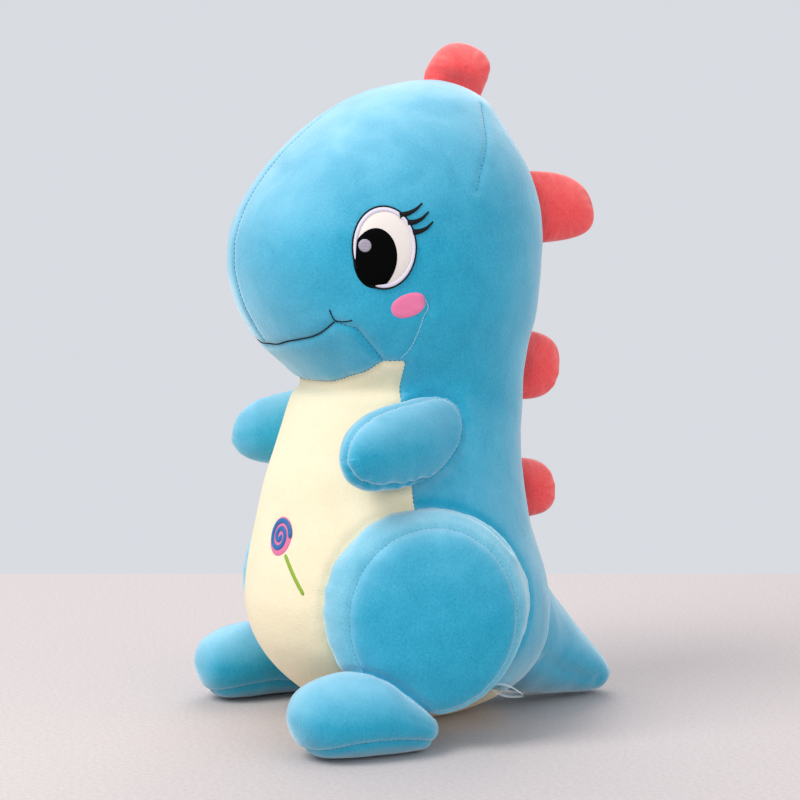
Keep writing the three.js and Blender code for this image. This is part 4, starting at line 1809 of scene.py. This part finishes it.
# ---- Arms ------------------------------------------------------------------------------------
@dataclass
class Arm:
    """A short mitten of an outer and an inner panel. Made for the left side."""

    side: Side
    root: tuple[float, float, float] = (71, -8, 193)
    tip: tuple[float, float, float] = (95.5, -84.5, 184)
    pivot: tuple[float, float, float] = (77.6, -16, 190)
    out: tuple[float, float, float] = (0.955, -0.17, 0.24)
    # along the arm as a part of its length: half height, half thickness, moved out
    rows: tuple[tuple[float, float, float, float], ...] = (
        (-0.42, 0, 0, 0),
        (-0.34, 16, 7, 0),
        (-0.16, 23.5, 11.5, 0),
        (0.03, 26, 15, 0),
        (0.25, 26.5, 18.5, 0),
        (0.52, 25.5, 19, 0),
        (0.77, 21.5, 16.5, 1),
        (0.94, 13, 9.5, 3.5),
        (1.0, 0, 0, 5),
    )
    net_mm: float = 1.7
    columns: int = 120
    # which columns the upper and the lower seam follow
    seam_columns: tuple[int, int] = (33, 80)
    # a start and a stop, out from the pivot, in mm
    bend: tuple[float, float] = (-2, 16)

    def __post_init__(self) -> None:
        """Lofts the arm."""
        root, along = np.array(self.root, float), np.subtract(self.tip, self.root)
        rise = np.array([0, 0, 1.0])
        inward = unit(np.cross(along, rise))
        loft = Loft(
            [[root + along * p - inward * o, inward * t, rise * h] for p, h, t, o in self.rows]
        )
        self.skin = Skin(loft, loft.even_places(self.net_mm), self.columns)

    def join(self, trunk: Skin) -> Seam:
        """Gives the line where the arm is sewn to the trunk.

        Args:
            trunk: the trunk's skin.

        Returns:
            The seam, on this arm's side.
        """
        self.ring = meeting_line(self.skin, trunk)
        style = SeamStyle(depth=1.8, width=3.0, gather=0.5, reach=8)
        return Seam(self.ring * self.side.flip, style, None)

    def build(self, bench: Bench) -> None:
        """Makes the arm's panels and its sewing.

        Args:
            bench: the bench.
        """
        side, word, skin = self.side, self.side.word, self.skin
        edges = [skin.points[:, c].copy() for c in self.seam_columns]
        upper = SeamStyle(depth=1.7, width=2.0, gather=0.5, reach=8, spacing=7)
        lower = SeamStyle(depth=2.0, width=2.0, gather=1.7, reach=6, spacing=5.5)
        plain = SeamStyle(depth=1.4, width=2.0, gather=0.4, reach=9, spacing=8)
        seams = [Seam(edges[0], upper), Seam(edges[1], lower), Seam(self.ring, plain)]
        skin.settle(seams, wave=0.8, seed=11.0 + side.value)
        skin.normals = skin.find_normals()
        first, last = self.seam_columns
        outer = np.zeros((len(skin.places) - 1, self.columns), bool)
        outer[:, first:last] = True
        front = skin.panel(bench, f"arm_outer_{word}", outer, TEAL, side)
        behind = skin.panel(bench, f"arm_inner_{word}", ~outer, TEAL, side)
        lines = [skin.column(c, side) for c in self.seam_columns]
        lines.append(skin.follow(self.ring, side))
        stitches = sew(bench, f"arm_stitches_{word}", lines, TEAL_THREAD)
        for piece in (front, behind, stitches):
            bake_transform(piece)
        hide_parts(f"arm_{word}_outer_panel", f"arm_{word}_stuffing")
        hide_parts(f"arm_{word}_inner_panel")


# ---- Tail ------------------------------------------------------------------------------------
@dataclass
class Tail:
    """A short thick tail of two panels, flared where it joins the trunk."""

    # y, half width, bottom, top
    rows: tuple[tuple[float, float, float, float], ...] = (
        (46, 0, 66, 66),
        (52, 60, 24, 116),
        (66, 63, 16, 121),
        (80, 57, 9, 116),
        (93, 48, 6, 100),
        (107, 39, 4, 81),
        (124, 30.5, 3, 61.5),
        (141, 22.5, 2, 42.5),
        (154, 14, 4, 26.5),
        (162, 0, 14, 14),
    )
    # the tuck low on each side: its first and last row, and how many columns below the middle
    tuck_rows: tuple[float, float] = (3.2, 7.2)
    tuck_column: int = 9
    net_mm: float = 1.9
    columns: int = 128
    # two points, in the pattern's mm
    bend: tuple[tuple[float, float, float], ...] = ((0, 84, 30), (0, 116, 30))

    def build(self, bench: Bench) -> None:
        """Makes the tail's panels and its sewing.

        Args:
            bench: the bench.
        """
        loft = Loft.lying((y, 0, *rest) for y, *rest in self.rows)
        columns, quarter = self.columns, self.columns // 4
        skin = Skin(loft, loft.even_places(self.net_mm), columns)
        middle = (quarter, 3 * quarter)
        plain = SeamStyle(depth=1.0, gather=0.3)
        seams = [Seam(skin.points[:, c].copy(), plain) for c in middle]
        first, last = (int(np.argmin(np.abs(skin.places - 1 - row))) for row in self.tuck_rows)
        tuck = SeamStyle(depth=1.6, width=5.5, gather=0.0, reach=9)
        seams += [
            Seam(skin.points[first:last, c].copy(), tuck)
            for c in (columns - self.tuck_column, columns // 2 + self.tuck_column)
        ]
        skin.settle(seams, wave=0.8, seed=17.0, calm=2)
        skin.rest_on_floor(1.2)
        skin.normals = skin.find_normals()
        left = np.zeros((len(skin.places) - 1, columns), bool)
        left[:, :quarter] = left[:, 3 * quarter :] = True
        pieces = [
            skin.panel(bench, "tail_side_left", left, TEAL),
            skin.panel(bench, "tail_side_right", ~left, TEAL),
            sew(bench, "tail_stitches", [skin.column(c) for c in middle], TEAL_THREAD),
        ]
        for piece in pieces:
            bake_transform(piece)
        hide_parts("tail_panel_left", "tail_stuffing")
        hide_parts("tail_panel_right")


# ---- Spikes ----------------------------------------------------------------------------------
@dataclass
class Spike:
    """A padded coral spike of two panels, standing on the back seam."""

    name: str
    base: tuple[float, float]
    faces: float
    length: float
    height: float
    lean: float
    thick: float = 20
    lift: float = 2.5
    sunk: float = 9
    # how much thinner it is where it is sewn in
    pinch: float = 0.38
    pinch_reach: float = 6
    # its middle, as parts of the lean and the height
    middle: tuple[float, float] = (0.35, 0.36)
    # how late and how roundly the padding falls off to the edge, and how much thinner the tip is
    falls: float = 2.2
    rounds: float = 0.58
    tip_thins: float = 0.25
    # the covers' lumps and edge folds: size, lift, and how far in the folds reach
    lump: tuple[float, float] = (22, 1.1)
    fold: tuple[float, float] = (5, 1.7)
    fold_reach: float = 8
    # the outermost part, which stays on the outline
    still: float = 2.5
    # where its outline turns in, as a part of its height, and how broad its top is
    shoulder: float = 0.75
    crown: float = 0.7
    # a start and a stop, out from the back, in mm
    bend: tuple[float, float] = (-3, 13)

    def outline(self, count: int = 96) -> np.ndarray:
        """Gives the spike's outline, along the seam and out from its fold line."""
        half, top = self.length / 2, self.height - self.lift
        lean = self.lean
        t = np.linspace(0, 1, count // 2)[:, None]
        curves = []
        for sign in (1, -1):
            corners = np.array(
                [
                    (sign * half, 0),
                    (sign * half + lean / 2, top * self.shoulder),
                    (lean + sign * half * self.crown, top),
                    (lean, top),
                ]
            )
            a, b, c, d = corners
            mix = (1 - t) ** 3 * a + 3 * (1 - t) ** 2 * t * b + 3 * (1 - t) * t**2 * c + t**3 * d
            curves.append(mix)
        foot = np.array([(-half + 1, -self.sunk), (half - 1, -self.sunk), (half, 0)])
        line = np.vstack([curves[0], curves[1][::-1][1:], foot])
        return resampled(line, 2.0)

    def build(self, bench: Bench) -> None:
        """Makes the spike's covers and its sewing.

        Args:
            bench: the bench.
        """
        turn = math.radians(self.faces)
        out = np.array([0, math.cos(turn), math.sin(turn)])
        along = np.array([0, -math.sin(turn), math.cos(turn)])
        origin = np.array([0, *self.base]) + out * self.lift
        edge = self.outline()
        across, up = self.middle
        middle = np.array([self.lean * across, (self.height - self.lift) * up])
        part = np.linspace(0, 1, 22) ** 0.85
        flat = middle + part[:, None, None] * (edge - middle)[None]
        puff = self.thick / 2 * (1 - part**self.falls) ** self.rounds
        taper = 1 - self.tip_thins * np.clip(flat[..., 1] / self.height, 0, 1) ** 2
        root = np.exp(-((np.clip(flat[..., 1], 0, None) / self.pinch_reach) ** 2))
        taper = taper - self.pinch * root
        rim = origin + edge[:, :1] * along + edge[:, 1:] * out
        for side in Side:
            width = puff[:, None] * taper
            net = origin + flat[..., :1] * along + flat[..., 1:] * out
            net = net + np.array([side.value, 0, 0]) * width[..., None]
            ways = self.net_normals(net, side)
            net = self.crumple(net, ways, edge, flat, 23.0 + side.value)
            cover = lay_grid(f"{self.name}_spike_cover_{side.word}", bench.metres(net), ways)
            bench.dress(cover, CORAL)
            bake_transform(cover)
            nodes = [f"{self.name}_spike_{side.word}"]
            if side is Side.LEFT:
                nodes.append(f"{self.name}_spike_padding")
            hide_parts(*nodes)
        shown = edge[:, 1] > 1
        ways = unit(rim - (origin + middle[0] * along + middle[1] * out))
        lines = [(rim[shown], ways[shown])]
        stitches = sew(bench, f"{self.name}_spike_stitches", lines, CORAL_THREAD, SPIKE_STITCH)
        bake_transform(stitches)

    @staticmethod
    def net_normals(net: np.ndarray, side: Side) -> np.ndarray:
        """Gives the ways out of one cover."""
        across = np.gradient(net, axis=1)
        normals = unit(np.cross(across, np.gradient(net, axis=0)))
        if normals[..., 0].sum() * side.value < 0:
            normals = -normals
        normals[0] = (side.value, 0, 0)
        return normals

    def crumple(
        self, net: np.ndarray, normals: np.ndarray, edge: np.ndarray, flat: np.ndarray, seed: float
    ) -> np.ndarray:
        """Gathers a cover at its edge and lets the padding show through it.

        Args:
            net: the cover's points.
            normals: its ways out.
            edge: its outline.
            flat: the points seen flat.
            seed: moves the folds about.

        Returns:
            The changed points.
        """
        made = net.copy()
        (lump_size, lump_lift), (fold_size, fold_lift) = self.lump, self.fold
        for j in range(net.shape[1]):
            fold = noise.noise(Vector((edge[j, 0] / fold_size, edge[j, 1] / fold_size, seed)))
            for i in range(1, net.shape[0] - 1):
                gap = float(np.linalg.norm(flat[i, j] - edge[j]))
                lumps = noise.noise(Vector(net[i, j]) / lump_size + Vector((seed, 0, 0)))
                near_edge = math.exp(-((gap / self.fold_reach) ** 2))
                value = lump_lift * lumps + fold_lift * fold * near_edge
                made[i, j] = net[i, j] + normals[i, j] * value * min(gap / self.still, 1.0)
        made[:, -1] = made[:, 0]
        return made


SPIKES = (
    Spike("crown", (38.5, 420), 72, 44, 31, -6),
    Spike("nape", (95, 340), 13, 50, 52, -11),
    Spike("back", (85.3, 234), -7, 48, 36.5, 1),
    Spike("lower_back", (84, 148), 7, 42, 34.5, -5),
)


# ---- Care label ------------------------------------------------------------------------------
@dataclass
class CareLabel:
    """A strip of white ribbon folded double and caught in the seat's back seam."""

    at: tuple[float, float, float] = (62, 33, 29)
    width: float = 11
    length: float = 25
    turn: float = 14
    drop: float = 22
    gap: float = 0.9
    # how far the loop stands open at its middle, and how far its end turns up
    open: float = 6.0
    turned_up: float = 1.6
    # how much of each end is in the seam
    caught: float = 3

    def build(self, bench: Bench) -> None:
        """Makes the label.

        Args:
            bench: the bench.
        """
        run = self.length
        bend = np.linspace(-math.pi / 2, math.pi / 2, 9)
        fold = self.gap / 2
        over = np.linspace(-self.caught, run - fold, 22)
        line = np.vstack(
            [
                np.column_stack([over, 0 * over - fold]),
                np.column_stack([run - fold + fold * np.cos(bend), fold * np.sin(bend)])[1:-1],
                np.column_stack([over[::-1], 0 * over + fold]),
            ]
        )
        swell = np.sin(math.pi * np.clip(line[:, 0] / run, 0, 1))
        line[:, 1] += np.sign(line[:, 1]) * self.open / 2 * swell
        line[:, 1] += self.turned_up * (line[:, 0] / run) ** 2
        across = np.linspace(-self.width / 2, self.width / 2, 9)
        drop, turn = math.radians(self.drop), math.radians(self.turn)
        level = math.cos(drop)
        forward = np.array([math.sin(turn) * level, math.cos(turn) * level, -math.sin(drop)])
        aside = np.array([math.cos(turn), -math.sin(turn), 0])
        up = np.cross(aside, forward)
        curl = 0.5 * np.cos(across / self.width * math.pi)
        net = (
            np.array(self.at)
            + line[:, None, :1] * forward
            + across[None, :, None] * aside
            + (line[:, None, 1:] + curl[None, :, None]) * up
        )
        length = np.concatenate([[0], np.cumsum(np.linalg.norm(np.diff(line, axis=0), axis=1))])
        uv = np.stack(np.broadcast_arrays(across[None], length[:, None]), axis=-1)
        above = np.arange(len(line))[:, None, None] > len(line) // 2
        normals = np.where(above, 1, -1) * np.broadcast_to(up, net.shape)
        label = lay_grid("care_label_ribbon", bench.metres(net), normals, uv=uv * UV_PER_MM + 0.5)
        bench.dress(label, LABEL_RIBBON)
        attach(label, "trunk")
        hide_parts("care_label")


# ---- Studio ----------------------------------------------------------------------------------
@dataclass
class Studio:
    """The camera, a pale floor and soft light from the upper left."""

    eye: tuple[float, float, float] = (1132.9, -528.3, 300)
    target: tuple[float, float, float] = (0, 0, 211.52)
    lens: float = 84.55
    sensor: float = 36
    floor_shade: str = "#bfb5b3"
    floor_tone: str = "#cac0be"
    floor_turn: float = 65
    grain_mm: float = 3.0
    sky_tone: str = "#e9ecf2"
    # name, place in metres, watts, side in metres
    lights: tuple[tuple[str, tuple[float, float, float], float, float], ...] = (
        ("key", (0.35, -1.6, 1.9), 40, 1.2),
        ("fill", (1.7, 0.7, 0.8), 7, 1.6),
        ("rim", (-1.3, 0.6, 1.7), 16, 1.4),
    )

    def build(self, bench: Bench) -> None:
        """Makes the camera, the floor and the lights.

        Args:
            bench: the bench.
        """
        eye, target = (Vector(bench.spot(p)) for p in (self.eye, self.target))
        data = bpy.data.cameras.new("camera")
        data.lens, data.sensor_width = self.lens, self.sensor
        camera = bpy.data.objects.new("camera", data)
        bpy.context.scene.collection.objects.link(camera)
        camera.location = eye
        camera.rotation_euler = (target - eye).to_track_quat("-Z", "Y").to_euler()
        bpy.context.scene.camera = camera
        self.build_floor()
        self.build_sky()
        for name, place, power, size in self.lights:
            self.add_light(name, place, target, power, size)
        bpy.context.scene.view_settings.view_transform = "Standard"

    def build_floor(self) -> None:
        """Makes the floor."""
        material, tree, output = new_material("pale brushed cloth")
        place = add_node(tree, "ShaderNodeTexCoord").outputs["Object"]
        grain = add_node(
            tree,
            "ShaderNodeTexNoise",
            {"Scale": texture_scale(self.grain_mm), "Detail": 3.0, "Distortion": 0.2},
            {"Vector": place},
        ).outputs[0]
        ramp = add_node(tree, "ShaderNodeValToRGB", links={0: grain})
        colour_ends(ramp, self.floor_shade, self.floor_tone)
        nap = add_node(
            tree, "ShaderNodeBump", {"Strength": 0.2, "Distance": 0.6 * MM}, {"Height": grain}
        )
        shader = add_node(
            tree,
            "ShaderNodeBsdfPrincipled",
            {"Roughness": 0.95},
            {"Base Color": ramp.outputs["Color"], "Normal": nap.outputs["Normal"]},
        )
        tree.links.new(shader.outputs["BSDF"], output.inputs["Surface"])
        bm = bmesh.new()
        bmesh.ops.create_grid(bm, x_segments=8, y_segments=8, size=1.0)
        turn = Matrix.Rotation(math.radians(self.floor_turn), 4, "Z")
        place = turn @ Matrix.Diagonal((1.1, 0.565, 1, 1))
        bmesh.ops.transform(bm, matrix=place, verts=bm.verts)
        floor = object_from(bm, "floor")
        floor.data.materials.append(material)

    def build_sky(self) -> None:
        """Makes the even light around."""
        world = bpy.data.worlds.new("studio")
        bpy.context.scene.world = world
        world.use_nodes = True
        shade = world.node_tree.nodes["Background"]
        shade.inputs["Color"].default_value = linear(self.sky_tone)
        shade.inputs["Strength"].default_value = 0.85

    @staticmethod
    def add_light(
        name: str, place: tuple[float, float, float], target: Vector, power: float, size: float
    ) -> None:
        """Adds one soft box.

        Args:
            name: the light's name.
            place: where it stands, in metres.
            target: what it faces.
            power: in watts.
            size: its side, in metres.
        """
        data = bpy.data.lights.new(name, "AREA")
        data.energy, data.size = power, size
        light = bpy.data.objects.new(name, data)
        bpy.context.scene.collection.objects.link(light)
        light.location = place
        light.rotation_euler = (target - Vector(place)).to_track_quat("-Z", "Y").to_euler()


def main() -> None:
    """Builds the toy and the studio around it."""
    logging.basicConfig(level=logging.INFO, format="%(name)s: %(message)s")
    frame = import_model()
    bench = Bench.from_joint(frame["joints"], "tail_swing", (0, 86, 30))
    Studio().build(bench)
    trunk = Trunk()
    limbs = [kind(side) for side in Side for kind in (Leg, Arm)]
    trunk.settle([limb.join(trunk.skin) for limb in limbs])
    trunk.build(bench)
    Embroidery(trunk).build(bench)
    for limb in limbs:
        limb.build(bench)
    Tail().build(bench)
    for spike in SPIKES:
        spike.build(bench)
    CareLabel().build(bench)


if __name__ == "__main__":
    main()
